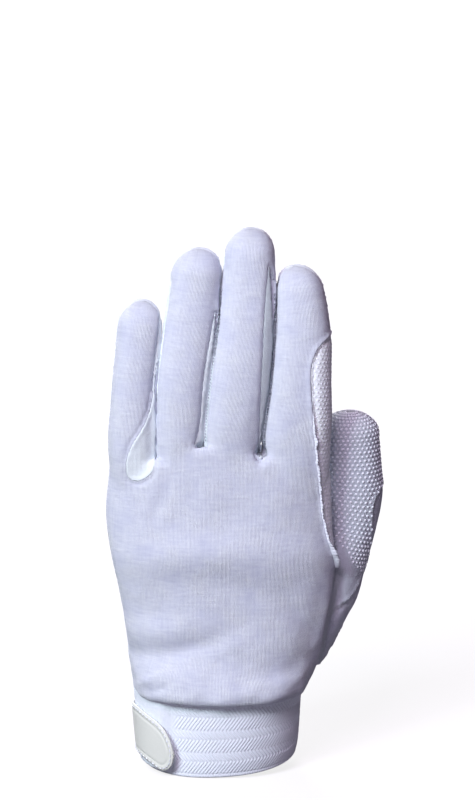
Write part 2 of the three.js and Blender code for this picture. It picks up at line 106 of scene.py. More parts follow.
class Table:
    """Rows of numbers, with smooth values between them along the first column."""

    def __init__(self, columns: str, rows: Sequence[Sequence[float]]) -> None:
        """Keeps the rows.

        Args:
            columns: The names of the columns, with spaces between them.
            rows: The rows, in rising order of the first column.
        """
        self.names = columns.split()
        self.values = np.array(rows, float)
        self.keys = self.values[:, 0]

    def at(self, name: str, place: Points | float) -> Points:
        """Reads one column at some places.

        Args:
            name: The column's name.
            place: Where to read it, along the first column.

        Returns:
            The smooth values there, held at the end rows' values beyond them.
        """
        keys = self.keys
        column = self.values[:, self.names.index(name)]
        last = len(keys) - 1
        at = np.clip(place, keys[0], keys[-1])
        i = np.clip(np.searchsorted(keys, at) - 1, 0, last - 1)
        before, after = np.maximum(i - 1, 0), np.minimum(i + 2, last)
        step = keys[i + 1] - keys[i]
        t = (at - keys[i]) / step
        leaving = (column[i + 1] - column[before]) / (keys[i + 1] - keys[before]) * step
        arriving = (column[after] - column[i]) / (keys[after] - keys[i]) * step
        t2, t3 = t * t, t * t * t
        return (
            (2 * t3 - 3 * t2 + 1) * column[i]
            + (t3 - 2 * t2 + t) * leaving
            + (3 * t2 - 2 * t3) * column[i + 1]
            + (t3 - t2) * arriving
        )


def smooth_step(low: float, high: float, value: Points | float) -> Points:
    """A smooth rise from 0 at low to 1 at high."""
    t = np.clip((np.asarray(value, float) - low) / (high - low), 0, 1)
    return t * t * (3 - 2 * t)


def rounded_square(turn: float, power: float) -> Span:
    """A point of a rounded square that reaches 1 on each side, at a turn in radians."""
    x, y = math.cos(turn), math.sin(turn)
    return math.copysign(abs(x) ** power, x), math.copysign(abs(y) ** power, y)


@dataclass(frozen=True)
class Ring:
    """One section of a lofted form: its reach on four sides, its height and its share of the reach."""

    left: float
    right: float
    back: float
    palm: float
    z: float
    share: float = 1.0

    def place(self, turn: float, reach: float, squareness: float, inset: float) -> Vector:
        """Finds a point of the section.

        Args:
            turn: Where round the section, in radians.
            reach: The share of the way out.
            squareness: How square the section is.
            inset: How far inside the section its skin lies.

        Returns:
            The point.
        """
        across, along = rounded_square(turn, 2 / squareness)
        wide = ((self.right - self.left) / 2 - inset) * across * self.share * reach
        deep = ((self.palm - self.back) / 2 - inset) * along * self.share * reach
        return Vector(((self.left + self.right) / 2 + wide, (self.back + self.palm) / 2 + deep, self.z))


def loft(rings: Sequence[Ring], squareness: float, inset: float, around: int) -> Net:
    """Makes a closed skin through sections.

    Args:
        rings: The sections, from low to high.
        squareness: How square the sections are: 2 is an ellipse.
        inset: How far the skin lies inside the sections.
        around: The number of corners in each section.

    Returns:
        A new mesh in millimetres.
    """
    bm = bmesh.new()
    bmesh.ops.create_cone(bm, cap_ends=True, segments=around, radius1=1, radius2=1, depth=1)
    rails = [e for e in bm.edges if abs(e.verts[0].co.z - e.verts[1].co.z) > 0.5]
    bmesh.ops.subdivide_edges(bm, edges=rails, cuts=len(rings) - 2, use_grid_fill=True)
    for v in bm.verts:
        ring = rings[round((v.co.z + 0.5) * (len(rings) - 1))]
        v.co = ring.place(math.atan2(v.co.y, v.co.x), math.hypot(v.co.x, v.co.y), squareness, inset)
    return bm


def join(meshes: Iterable[Net]) -> Net:
    """Puts meshes together in one, and frees them.

    Args:
        meshes: The meshes.

    Returns:
        A new mesh.
    """
    joined = bmesh.new()
    for bm in meshes:
        held = bpy.data.meshes.new("held")
        bm.to_mesh(held)
        bm.free()
        joined.from_mesh(held)
        bpy.data.meshes.remove(held)
    return joined


@dataclass
class HandForm:
    """The filled shape of the glove: palm, four fingers and thumb, without their cloth."""

    inset: float = 0.9
    voxel: float = 0.8
    shaft_sections: int = 44
    cap_sections: int = 12
    cap_step: float = 7.2
    digit_corners: int = 56
    hand_sections: int = 90
    hand_corners: int = 140
    hand_lip: tuple[Span, ...] = ((0.9, 0.985), (1.5, 0.94), (1.7, 0.85))
    crotch_level: float = 128.0
    crotch_from: float = 108.0
    crotch_over: float = 20.0
    crotch_most: float = 1.15
    finger_squareness: float = 2.45
    hand_squareness: float = 2.3
    thumb_squareness: float = 2.25
    finger_rounding: float = 10.5
    thumb_rounding: float = 9.0
    finger_root: float = 106.0
    tips: tuple[float, ...] = (195.5, 216.8, 225.3, 209.8)
    thumb_tip: float = 143.8
    hand: Table = Table(
        "step z left right back palm",
        [
            (0, 29.6, -34.0, 35.6, -25.8, 25.0), (1, 27.4, -35.0, 37.2, -28.2, 27.0),
            (2, 29.6, -35.7, 38.9, -30.0, 28.2), (3, 34.5, -36.0, 41.0, -28.6, 27.2),
            (4, 42.0, -37.1, 43.8, -24.6, 24.6), (5, 51.0, -38.2, 46.3, -21.8, 22.4),
            (6, 62.0, -39.8, 48.4, -20.0, 20.4), (7, 74.0, -41.8, 49.2, -19.6, 18.6),
            (8, 86.0, -44.1, 49.4, -19.0, 17.2), (9, 100.0, -46.4, 48.4, -17.2, 15.6),
            (10, 112.0, -46.8, 48.1, -15.4, 14.4), (11, 120.0, -46.4, 47.9, -14.2, 13.6),
            (12, 127.2, -45.6, 47.2, -12.9, 12.6),
        ],
    )
    crotch: Table = Table("x z", [(-46, 124), (-26, 128), (-6, 135), (18, 131), (47, 124)])
    fingers: tuple[Table, ...] = tuple(
        Table("z x y wide deep", rows)
        for rows in (
            [
                (106, -35.2, -0.6, 8.4, 8.4), (136, -35.8, -0.8, 9.9, 9.9), (160, -35.1, 1.0, 9.0, 9.2),
                (182, -32.7, 4.4, 9.4, 8.8), (196, -31.6, 6.4, 8.4, 8.0),
            ],
            [
                (106, -16.4, -1.0, 9.0, 11.0), (136, -15.8, -1.4, 9.6, 11.0),
                (160, -14.9, -0.4, 10.7, 10.4), (185, -11.4, 3.4, 11.0, 10.0),
                (206, -8.6, 7.4, 10.7, 9.4), (217, -7.6, 9.2, 9.6, 8.8),
            ],
            [
                (106, 6.0, -1.0, 10.6, 11.6), (136, 6.2, -1.6, 12.0, 11.6),
                (160, 9.0, -1.0, 12.6, 11.0), (185, 11.9, 2.4, 11.8, 10.4), (206, 13.4, 6.6, 11.0, 9.8),
                (225, 14.3, 9.6, 9.8, 9.2),
            ],
            [
                (106, 33.2, -0.6, 12.4, 10.0), (136, 33.3, -0.8, 14.6, 11.8),
                (160, 35.1, 0.2, 13.1, 11.4), (185, 35.7, 3.4, 11.6, 10.6), (200, 34.6, 6.4, 10.0, 9.8),
                (210, 33.2, 8.0, 9.2, 9.0),
            ],
        )
    )
    thumb: Table = Table(
        "z left right back palm",
        [
            (33, 26.0, 40.0, -2.0, 19.4), (37, 20.6, 44.4, -3.4, 22.8), (44, 16.0, 49.0, -5.0, 25.8),
            (54, 14.2, 54.4, -6.0, 28.0), (64, 17.0, 59.8, -5.0, 29.0), (76, 27.0, 62.8, -1.0, 30.0),
            (92, 39.4, 67.4, 3.6, 31.0), (107, 42.8, 69.9, 4.8, 30.4), (120, 43.4, 69.4, 5.6, 29.0),
            (134, 43.8, 68.4, 7.0, 27.4), (144, 44.2, 67.4, 8.4, 25.6),
        ],
    )

    def reach(self, finger: int, z: Points | float) -> tuple[Points, Points, Points, Points]:
        """A finger's axis (x, y) and half sizes (wide, deep) at a height."""
        rows = self.fingers[finger]
        return rows.at("x", z), rows.at("y", z), rows.at("wide", z), rows.at("deep", z)

    def digit(
        self, ring_at: Callable[[float], Ring], low: float, tip: float, rounding: float, squareness: float
    ) -> Net:
        """Makes a finger or the thumb: even sections, then a rounded tip.

        Args:
            ring_at: The section at a height.
            low: The lowest section's height.
            tip: The height of the tip.
            rounding: How far below the tip the rounding starts.
            squareness: How square the sections are.

        Returns:
            A new mesh in millimetres.
        """
        top = tip - rounding
        count = self.shaft_sections
        rings = [ring_at(low + (top - low) * i / count) for i in range(count + 1)]
        for i in range(1, self.cap_sections + 1):
            rise = math.sin(math.radians(i * self.cap_step))
            z = top + (rounding - self.inset) * rise
            section = ring_at(z)
            rings.append(
                Ring(section.left, section.right, section.back, section.palm, z, math.sqrt(1 - rise * rise))
            )
        return loft(rings, squareness, self.inset, self.digit_corners)

    def finger_ring(self, finger: int, z: float) -> Ring:
        """A finger's section at a height."""
        x, y, wide, deep = self.reach(finger, z)
        return Ring(x - wide, x + wide, y - deep, y + deep, z)

    def thumb_ring(self, z: float) -> Ring:
        """The thumb's section at a height."""
        return Ring(*(float(self.thumb.at(side, z)) for side in SIDES), z)

    def palm(self) -> Net:
        """Makes the hand, from the puffed fold over the band to the crotches of the fingers.

        Returns:
            A new mesh in millimetres.
        """
        sides = (*SIDES, "z")
        last_step, count = self.hand.keys[-1], self.hand_sections
        steps = [last_step * i / count for i in range(count + 1)]
        rings = [Ring(*(float(self.hand.at(side, s)) for side in sides)) for s in steps]
        last = rings[-1]
        for rise, share in self.hand_lip:
            rings.append(Ring(last.left, last.right, last.back, last.palm, last.z + rise, share))
        bm = loft(rings, self.hand_squareness, self.inset, self.hand_corners)
        for v in bm.verts:
            raised = float(self.crotch.at("z", v.co.x)) - self.crotch_level - self.inset
            share = (v.co.z - self.crotch_from) / self.crotch_over
            v.co.z += raised * min(self.crotch_most, max(0.0, share))
        return bm

    def build(self) -> bpy.types.Mesh:
        """Joins all the forms into one skin of small even faces.

        Returns:
            A mesh in metres.
        """
        forms = [self.palm()]
        for finger, tip in enumerate(self.tips):
            ring_at = partial(self.finger_ring, finger)
            forms.append(
                self.digit(ring_at, self.finger_root, tip, self.finger_rounding, self.finger_squareness)
            )
        low = self.thumb.keys[0] + self.inset
        forms.append(
            self.digit(self.thumb_ring, low, self.thumb_tip, self.thumb_rounding, self.thumb_squareness)
        )
        bm = join(forms)
        bmesh.ops.scale(bm, vec=(MM, MM, MM), verts=bm.verts)
        bmesh.ops.recalc_face_normals(bm, faces=bm.faces)
        rough = object_of("form", bm)
        union = rough.modifiers.new("union", "REMESH")
        union.mode = "VOXEL"
        union.voxel_size = self.voxel * MM
        mesh = evaluated_mesh(rough)
        bpy.data.objects.remove(rough)
        return mesh


def object_of(name: str, bm: Net) -> Piece:
    """Makes a linked object from a bmesh, and frees the bmesh.

    Args:
        name: The object's name.
        bm: A mesh in metres.

    Returns:
        The object, at the origin.
    """
    mesh = bpy.data.meshes.new(name)
    bm.to_mesh(mesh)
    bm.free()
    made = bpy.data.objects.new(name, mesh)
    bpy.context.scene.collection.objects.link(made)
    return made


def evaluated_mesh(item: Piece) -> bpy.types.Mesh:
    """A new mesh of an object as its modifiers leave it."""
    graph = bpy.context.evaluated_depsgraph_get()
    return bpy.data.meshes.new_from_object(item.evaluated_get(graph))


def rows_of(items: Sequence, what: str, width: int, kind: type = np.float32) -> np.ndarray:
    """Reads one property of all the items of a mesh.

    Args:
        items: The mesh's corners, normals, edges, loops or triangles.
        what: The property's name.
        width: How many numbers it has.
        kind: Their type.

    Returns:
        One row for each item.
    """
    flat = np.zeros(len(items) * width, kind)
    items.foreach_get(what, flat)
    return flat.reshape(-1, width)


def corners_of(mesh: bpy.types.Mesh) -> Points:
    """A mesh's corners in millimetres."""
    return rows_of(mesh.vertices, "co", 3).astype(float) / MM


def set_corners(mesh: bpy.types.Mesh, corners: Points) -> None:
    """Puts a mesh's corners at places given in millimetres."""
    mesh.vertices.foreach_set("co", (corners * MM).astype(np.float32).ravel())
    mesh.update()


def normals_of(mesh: bpy.types.Mesh) -> Points:
    """A mesh's corner normals."""
    return rows_of(mesh.vertex_normals, "vector", 3).astype(float)


def edges_of(mesh: bpy.types.Mesh) -> np.ndarray:
    """A mesh's edges as pairs of corner numbers."""
    return rows_of(mesh.edges, "vertices", 2, np.int32)


def tree_of(points: Sequence[Sequence[float]]) -> KDTree:
    """Makes a tree that finds the nearest of some points.

    Args:
        points: The points.

    Returns:
        The tree, with each point's number.
    """
    tree = KDTree(len(points))
    for i, point in enumerate(points):
        tree.insert(point, i)
    tree.balance()
    return tree


def relax(corners: Points, edges: np.ndarray, steps: int, pull: Points | float, push: float = 0.0) -> Points:
    """Smooths corners towards the mean of their neighbours.

    Args:
        corners: The corners.
        edges: Pairs of corner numbers.
        steps: How many times to smooth.
        pull: How far to move each time, 0 to 1, for all or for each corner.
        push: How far to move back each time, which keeps the size.

    Returns:
        The smoothed corners.
    """
    count = len(corners)
    heads, tails = edges[:, 0], edges[:, 1]
    links = np.bincount(heads, minlength=count) + np.bincount(tails, minlength=count)
    moved = corners.copy()
    weights = [np.broadcast_to(pull, count)] + ([np.full(count, -push)] if push else [])
    for _ in range(steps):
        for weight in weights:
            mean = np.empty_like(moved)
            for axis in range(3):
                line = moved[:, axis]
                total = np.bincount(heads, line[tails], count) + np.bincount(tails, line[heads], count)
                mean[:, axis] = total / np.maximum(links, 1)
            moved += (mean - moved) * weight[:, None]
    return moved


@dataclass(frozen=True)
class Fold:
    """A soft fold or dent: its middle on the back or palm, half sizes, turn, depth and curve."""

    side: str
    x: float
    z: float
    long: float
    wide: float
    turn: float
    depth: float
    curve: float = 0.0

    def lift(self, corners: Points, normals: Points) -> Points:
        """Finds how far the fold lifts the cloth.

        Args:
            corners: The cloth's corners.
            normals: Their normals.

        Returns:
            The lift of each corner, in millimetres.
        """
        facing = normals[:, 1] * (-1 if self.side == "back" else 1)
        turn = math.radians(self.turn)
        dx, dz = corners[:, 0] - self.x, corners[:, 2] - self.z
        along = dx * math.cos(turn) + dz * math.sin(turn)
        across = dz * math.cos(turn) - dx * math.sin(turn) - self.curve * along * along / self.long
        shape = np.exp(-((along / self.long) ** 2) - (across / self.wide) ** 2)
        return self.depth * shape * smooth_step(*FOLD_FACING, facing)


@dataclass
class Skin:
    """The outer skin of the cloth, before it is cut into its sewn pieces."""

    form: HandForm
    pull: float = 0.5
    push: float = 0.52
    form_steps: int = 6
    root_steps: int = 36
    joined_steps: int = 10
    grown_steps: int = 6
    folded_steps: int = 2
    crotch_drop: float = 4.0
    crotch_width: float = 9.0
    fingers_end: float = 44.0
    thumb_root_x: Span = (8.0, 16.0)
    thumb_root_y: Span = (2.0, 10.0)
    thumb_root_low: Span = (28.0, 36.0)
    thumb_root_high: Span = (84.0, 96.0)
    flank_front: Span = (-0.78, -0.42)
    flank_back: Span = (-0.42, -0.02)
    flank_low: Span = (-2.0, 5.0)
    flank_high: Span = (-26.0, -12.0)
    flank_inner: float = 0.45
    broad_size: float = 17.0
    fine_size: Triple = (7.0, 7.0, 4.5)
    fine_shift: Triple = (9.0, 4.0, 2.0)
    slack_low: Span = (30.0, 62.0)
    broad_slack: Span = (0.35, 0.5)
    fine_slack: Span = (0.10, 0.28)
    back_folds: tuple[tuple[float, ...], ...] = (
        (-20, 47.5, 24, 4.2, 14, -1.9, 0.10), (-24, 57, 17, 5.5, 12, 1.3, 0.05),
        (14, 42, 26, 7.5, -3, -1.7), (40, 46, 18, 8.0, 72, -1.5), (-14, 39, 22, 4.5, 3, 0.7),
        (24, 40, 16, 4.0, 10, -0.7), (0, 91, 40, 9.0, 2, 2.4, -0.08), (22, 73, 22, 6.0, -12, -0.6),
        (36, 60, 12, 4.0, -52, -1.0), (-30, 100, 14, 8.0, 60, 0.5), (45.6, 58, 19, 2.6, 82, 1.0),
        (49.8, 60, 15, 1.9, 80, -2.0), (18.3, 132.0, 3.2, 2.1, 90, -3.4), (-29, 35.5, 6, 1.9, 35, 0.9),
        (-24, 33.0, 5, 1.5, 30, -0.8), (53.0, 66, 9, 1.5, 112, -1.0), (27, 112, 12, 9.0, 70, 0.8),
        (-2, 116, 9, 6.0, 80, 0.4), (-24.8, 138, 11, 1.7, 90, 1.6), (-24, 112, 10, 3.0, 70, -0.5),
    )
    palm_folds: tuple[tuple[float, ...], ...] = (
        (-6, 121, 36, 2.6, 2, -1.2, -0.1), (-14, 98, 26, 3.4, -30, -1.3, 0.15), (0, 84, 22, 4.0, -52, -0.8),
        (-24, 66, 22, 7.0, 62, 1.3), (2, 47, 26, 4.4, 8, -1.6, 0.1), (-12, 56, 16, 3.4, 24, -0.9),
        (-37, 148, 9, 2.2, 0, -0.9), (-14, 156, 10, 2.4, 0, -1.0), (9, 160, 11, 2.4, 0, -1.0),
        (35, 152, 12, 2.4, 0, -1.0), (-12, 186, 9, 2.0, 0, -0.6), (12, 190, 9, 2.0, 0, -0.6),
        (35, 180, 9, 2.0, 0, -0.6),
    )
    flanks: tuple[tuple[int, int, float], ...] = (  # finger, side (1 is right) and push
        (0, 1, 1.8), (1, 1, 1.8), (2, 1, 1.2), (2, -1, 0.3), (3, -1, 0.6),
    )

    def blend(self, corners: Points) -> Points:
        """Finds how much the skin is smoothed where the fingers and the thumb leave the hand.

        Args:
            corners: The skin's corners.

        Returns:
            A share from 0 to 1 for each corner.
        """
        x, y, z = corners.T
        above = z - self.form.crotch.at("z", x) + self.crotch_drop
        near_crotch = np.exp(-((above / self.crotch_width) ** 2))
        near_thumb = smooth_step(*self.thumb_root_x, x) * smooth_step(*self.thumb_root_low, z)
        near_thumb *= 1 - smooth_step(*self.thumb_root_high, z)
        fingers = near_crotch * (x < self.fingers_end)
        return np.clip(fingers + near_thumb * smooth_step(*self.thumb_root_y, y), 0, 1)

    def ease(self, corners: Points, edges: np.ndarray, steps: int) -> Points:
        """The corners smoothed some times, with their size kept."""
        return relax(corners, edges, steps, self.pull, self.push)

    def build(self) -> bpy.types.Mesh:
        """Makes the skin: the form, smoothed, grown to the cloth's outside and folded.

        Returns:
            A mesh in metres.
        """
        mesh = self.form.build()
        edges = edges_of(mesh)
        corners = corners_of(mesh)
        corners = self.ease(corners, edges, self.form_steps)
        corners = relax(corners, edges, self.root_steps, self.pull * self.blend(corners))
        corners = self.ease(corners, edges, self.joined_steps)
        set_corners(mesh, corners)
        corners += normals_of(mesh) * self.form.inset
        corners = self.ease(corners, edges, self.grown_steps)
        set_corners(mesh, corners)
        normals = normals_of(mesh)
        folds = [Fold("back", *row) for row in self.back_folds]
        folds += [Fold("palm", *row) for row in self.palm_folds]
        lift = sum(fold.lift(corners, normals) for fold in folds)
        lift += self.slack(corners)
        corners += normals * lift[:, None]
        corners[:, 0] += self.flank_push(corners)
        set_corners(mesh, self.ease(corners, edges, self.folded_steps))
        return mesh

    def flank_push(self, corners: Points) -> Points:
        """Finds how far each finger's flanks are pressed against the fingers beside it.

        Args:
            corners: The skin's corners.

        Returns:
            Each corner's move along x, in millimetres.
        """
        x, y, z = corners.T
        push = np.zeros(len(corners))
        for finger, side, amount in self.flanks:
            axis_x, axis_y, wide, deep = self.form.reach(finger, z)
            next_x, _, next_wide, _ = self.form.reach(finger + side, z)
            height = (y - axis_y) / deep
            shape = smooth_step(*self.flank_front, height) * (1 - smooth_step(*self.flank_back, height))
            root = float(self.form.crotch.at("z", (axis_x + next_x)[0] / 2))
            ends = smooth_step(root + self.flank_low[0], root + self.flank_low[1], z)
            ends *= 1 - smooth_step(*self.flank_high, z - self.form.tips[finger])
            out = (x - axis_x) * side
            middle = ((next_x - axis_x) * side - next_wide + wide) / 2
            push += side * amount * shape * ends * ((out > self.flank_inner * wide) & (out < middle))
        return push

    def slack(self, corners: Points) -> Points:
        """Finds the cloth's slight unevenness, stronger low on the hand and in the puff over the band.

        Args:
            corners: The skin's corners.

        Returns:
            The lift of each corner, in millimetres.
        """
        broad = np.array([noise.noise(Vector(c) / self.broad_size) for c in corners])
        shift = Vector(self.fine_shift)
        fine = np.array([noise.noise(Vector(c) + shift) for c in corners / self.fine_size])
        low = 1 - smooth_step(*self.slack_low, corners[:, 2])
        broad *= self.broad_slack[0] + self.broad_slack[1] * low
        return broad + fine * (self.fine_slack[0] + self.fine_slack[1] * low)


@dataclass
class Pattern:
    """Where the skin is cut into its sewn pieces, as fields that are below 0 inside each piece."""

    form: HandForm
    tip_clearance: float = 7.0
    taper_height: float = 16.0
    taper_shares: Span = (0.3, 0.7)
    saddle_drop: float = 7.0
    saddle_y: float = -0.5
    saddle_reach: Span = (4.0, 8.5)
    palm_half: float = -5.0
    across_scale: float = 20.0
    strip_seam_gap: float = 0.9
    tongue_steps: int = 72
    tongue_back: float = -2.0
    tongue_rim: float = 0.6
    side_palm_edge: float = 5.4
    side_left: float = 30.0
    side_ends: Span = (80.0, 183.0)
    thumb_reach: float = 0.9
    thumb_low: float = 32.5
    outer_top: float = 128.0
    bare_top: float = 124.0
    bare_facing: float = 0.15
    opening_middle: Span = (0.8, -0.4)
    opening_half: Span = (33.6, 24.6)
    opening_squareness: float = 2.3
    opening_scale: float = 28.0
    opening_top: float = 34.0
    side_edge: Table = Table(
        "z x",
        [
            (78, 51.0), (84, 50.0), (90, 47.8), (98, 45.8), (115, 43.4), (135, 41.5), (150, 40.3),
            (160, 39.6), (168, 39.4), (174, 40.8), (178, 43.0), (181, 47.0), (183, 52.0),
        ],
    )
    side_seam: Table = Table(
        "z y", [(10, 0), (60, 0), (120, -0.4), (150, 0), (180, 3.4), (205, 7.2), (240, 12)]
    )
    thumb_edge: Table = Table(
        "z x wrap",
        [
            (20, 38.8, 7), (30, 42.0, 7.5), (42, 45.2, 9), (51, 46.2, 11), (58, 47.4, 14),
            (61.5, 49.4, 15), (63.5, 52.4, 16), (65.5, 55.6, 17), (68, 58.2, 18), (72, 60.4, 19),
            (76, 62.2, 20), (80, 63.4, 22), (87, 64.8, 24), (94, 65.6, 25), (102, 65.8, 25),
            (107, 66.8, 25), (112, 70.0, 25), (118, 78.0, 24), (128, 90.0, 22),
        ],
    )
    bare_edge: Table = Table(
        "z x",
        [
            (60, 80), (71, 70), (74.5, 63), (77.5, 60), (81, 57.4), (84.4, 55.4), (88, 53),
            (91.3, 50.8), (96, 48.8), (104, 46.4), (110, 42),
        ],
    )
    strip_edge: tuple[Table, ...] = tuple(
        Table("z dx", rows)
        for rows in (
            [(124, 7.4), (140, 8.2), (160, 8.3), (190, 8.6)],
            [(134, 6.2), (138, 7.2), (143, 8.3), (150, 9.0), (164, 9.1), (183, 9.4), (193, 9.8), (205, 10.4)],
            [
                (130, 11.0), (138, 11.4), (150, 10.6), (163, 9.4), (175, 8.6), (186, 7.8), (198, 7.7),
                (215, 8.4),
            ],
        )
    )
    strip_low: tuple[float, ...] = (127.5, 135.6, 131.0)
    strip_right_back: tuple[float, ...] = (-1.2, -1.8, -2.6)
    strip_palm_left: tuple[float, ...] = (3.4, 3.6, 3.8)
    strip_palm_right: tuple[float, ...] = (4.6, 5.0, 5.2)
    tongue: tuple[Span, ...] = (
        (-26.6, 158), (-26.0, 150), (-25.6, 142), (-25.6, 135.5), (-25.8, 130.5), (-26.8, 125.6),
        (-29.2, 122.4), (-33.2, 120.6), (-37.0, 121.8), (-38.2, 126.4), (-37.2, 132.4), (-34.4, 138.4),
        (-30.6, 144.4), (-27.9, 151.5),
    )

    def strip(self, index: int, corners: Points) -> Points:
        """The strip between two fingers: the facing sides of both, and the crotch between them.

        Args:
            index: The strip's number, from the little finger's side.
            corners: The skin's corners.

        Returns:
            The field, below 0 inside the strip.
        """
        x, y, z = corners.T
        left_x, left_y, _, _ = self.form.reach(index, z)
        right_x, right_y, _, _ = self.form.reach(index + 1, z)
        across = (x - left_x) / (right_x - left_x)
        side = smooth_step(*STRIP_TURN, across)
        bend = left_y + (right_y - left_y) * side
        left_edge = left_x + self.strip_edge[index].at("dx", z) - x
        right_edge = bend + self.strip_right_back[index] - y
        back = np.where(y < bend, left_edge * (1 - side) + right_edge * side, self.palm_half)
        palm_reach = self.strip_palm_left[index] * (1 - side) + self.strip_palm_right[index] * side
        tip = self.form.tips[index] * (1 - side) + self.form.tips[index + 1] * side
        top = tip - self.tip_clearance
        taper = np.sqrt(np.clip((top - z) / self.taper_height, 0.0, 1.0))
        palm = y - bend - palm_reach * (self.taper_shares[0] + self.taper_shares[1] * taper)
        saddle = self.saddle_drop * (1 - smooth_step(*self.saddle_reach, np.abs(y - self.saddle_y)))
        ends = np.maximum(self.strip_low[index] - saddle - z, z - top)
        sides = np.maximum(-across, across - 1) * self.across_scale
        return np.maximum.reduce([back, palm, ends, sides])

    def strip_right(self, index: int, z: Points | float) -> Points:
        """Where the right half of a strip starts at a height, past its left seam."""
        return self.form.reach(index, z)[0] + self.strip_edge[index].at("dx", z) + self.strip_seam_gap

    def tongue_end(self, corners: Points) -> Points:
        """The rounded end of the little and ring fingers' strip, laid on the back of the hand.

        Args:
            corners: The skin's corners.

        Returns:
            The field, below 0 inside the rounded end.
        """
        count = len(self.tongue)
        rounded = Table("t x z", [(i, *self.tongue[i % count]) for i in range(-1, count + 2)])
        steps = np.linspace(0, count, self.tongue_steps, endpoint=False)
        outline = np.column_stack([rounded.at("x", steps), rounded.at("z", steps)])
        inside = np.zeros(len(corners), bool)
        distance = np.full(len(corners), np.inf)
        place = corners[:, [0, 2]]
        for start, end in zip(outline, np.roll(outline, -1, axis=0)):
            along = end - start
            share = np.clip(((place - start) @ along) / (along @ along), 0, 1)
            gap = place - start - share[:, None] * along
            distance = np.minimum(distance, np.hypot(*gap.T))
            crosses = (start[1] > place[:, 1]) != (end[1] > place[:, 1])
            slope = (place[:, 1] - start[1]) / (along[1] or TINY)
            inside ^= crosses & (place[:, 0] < start[0] + slope * along[0])
        return np.maximum(np.where(inside, -distance, distance), corners[:, 1] - self.tongue_back)

    def little_ring(self, corners: Points) -> Points:
        """The little and ring fingers' strip with its rounded end."""
        return np.minimum(self.strip(0, corners), self.tongue_end(corners))

    def side(self, corners: Points) -> Points:
        """The side strip along the index finger and the hand.

        Args:
            corners: The skin's corners.

        Returns:
            The field, below 0 inside the strip.
        """
        x, y, z = corners.T
        ends = np.maximum(self.side_ends[0] - z, z - self.side_ends[1])
        return np.maximum.reduce(
            [self.side_edge.at("x", z) - x, y - self.side_palm_edge, ends, self.side_left - x]
        )

    def thumb_outer(self, corners: Points) -> Points:
        """The plain strip along the thumb's outer side.

        Args:
            corners: The skin's corners.

        Returns:
            The field, below 0 inside the strip.
        """
        x, y, z = corners.T
        return np.maximum.reduce(
            [self.thumb_edge.at("x", z) - x, y - self.thumb_edge.at("wrap", z), z - self.outer_top]
        )

    def bare(self, corners: Points, normals: Points) -> np.ndarray:
        """True where the thumb's front has no dots: near the hand, and over its root."""
        left = corners[:, 0] < self.bare_edge.at("x", corners[:, 2])
        return left & (corners[:, 2] < self.bare_top) & (normals[:, 1] < self.bare_facing)

    def thumb_front(self, corners: Points) -> Points:
        """The dotted front of the thumb and of the ball of the thumb.

        Args:
            corners: The skin's corners.

        Returns:
            The field, below 0 inside the piece.
        """
        x, y, z = corners.T
        ring = [self.form.thumb.at(side, z) for side in SIDES]
        wide, deep = (ring[1] - ring[0]) / 2, (ring[3] - ring[2]) / 2
        power = self.form.thumb_squareness
        across = np.abs(x - (ring[0] + ring[1]) / 2) / wide
        along = np.abs(y - (ring[2] + ring[3]) / 2) / deep
        outside = (across**power + along**power) ** (1 / power) - 1
        return np.maximum(outside * np.minimum(wide, deep) - self.thumb_reach, self.thumb_low - z)

    def back(self, corners: Points) -> Points:
        """The back half of what is left."""
        return corners[:, 1] - self.side_seam.at("y", corners[:, 2])

    def opening(self, corners: Points) -> Points:
        """The bottom of the form, inside the fold that the band is sewn to.

        Args:
            corners: The skin's corners.

        Returns:
            The field, below 0 inside the opening.
        """
        across, along = np.abs(corners[:, :2] - self.opening_middle).T / np.reshape(self.opening_half, (2, 1))
        power = self.opening_squareness
        flat = (across**power + along**power) ** (1 / power) - 1
        return np.maximum(flat * self.opening_scale, corners[:, 2] - self.opening_top)

    def takes(self) -> list[tuple[Panel, Field]]:
        """Lists the pieces in the order in which they are cut from the cloth.

        Returns:
            Each piece with its field.
        """
        return [
            (Panel.THUMB_OUTER, self.thumb_outer),
            (Panel.THUMB_FRONT, self.thumb_front),
            (Panel.SIDE, self.side),
            (Panel.LITTLE_RING, self.little_ring),
            (Panel.RING_MIDDLE, lambda corners: self.strip(1, corners)),
            (Panel.MIDDLE_INDEX, lambda corners: self.strip(2, corners)),
            (Panel.BACK, self.back),
            (Panel.PALM, lambda corners: np.full(len(corners), -1.0)),
        ]


def cut_along(bm: Net, faces: Iterable[bmesh.types.BMFace], inside: Field) -> dict:
    """Cuts faces along the line where a field is zero.

    Args:
        bm: The mesh, in metres.
        faces: The faces that may be cut.
        inside: The field, of corners in millimetres.

    Returns:
        The field's value at each corner of the faces, 0 on the new line.
    """
    corners = list({v for f in faces for v in f.verts})
    places = np.array([v.co for v in corners]) / MM
    found = inside(places)
    found[np.abs(found) < NEAR_LINE] = 0.0
    values = dict(zip(corners, found.tolist()))
    crossing = [e for e in {e for f in faces for e in f.edges} if values[e.verts[0]] * values[e.verts[1]] < 0]
    cuts = [v for v in corners if values[v] == 0.0]
    for e in crossing:
        start, end = e.verts
        share = values[start] / (values[start] - values[end])
        _, made = bmesh.utils.edge_split(e, start, share)
        values[made] = 0.0
        cuts.append(made)
    bmesh.ops.connect_verts(bm, verts=cuts)
    return values


@dataclass(frozen=True)
class SeamProfile:
    """How a seam shapes the cloth beside it: a groove, then a swell, on each side of it."""

    depth: float = 0.6
    width: float = 1.1
    swell: float = 0.12
    crest: float = 2.4

    def lift(self, distance: Points) -> Points:
        """How far the cloth lifts at a distance from the seam."""
        groove = -self.depth * np.exp(-((distance / self.width) ** 2))
        return groove + self.swell * np.exp(-(((distance - self.crest * self.width) / self.width) ** 2))


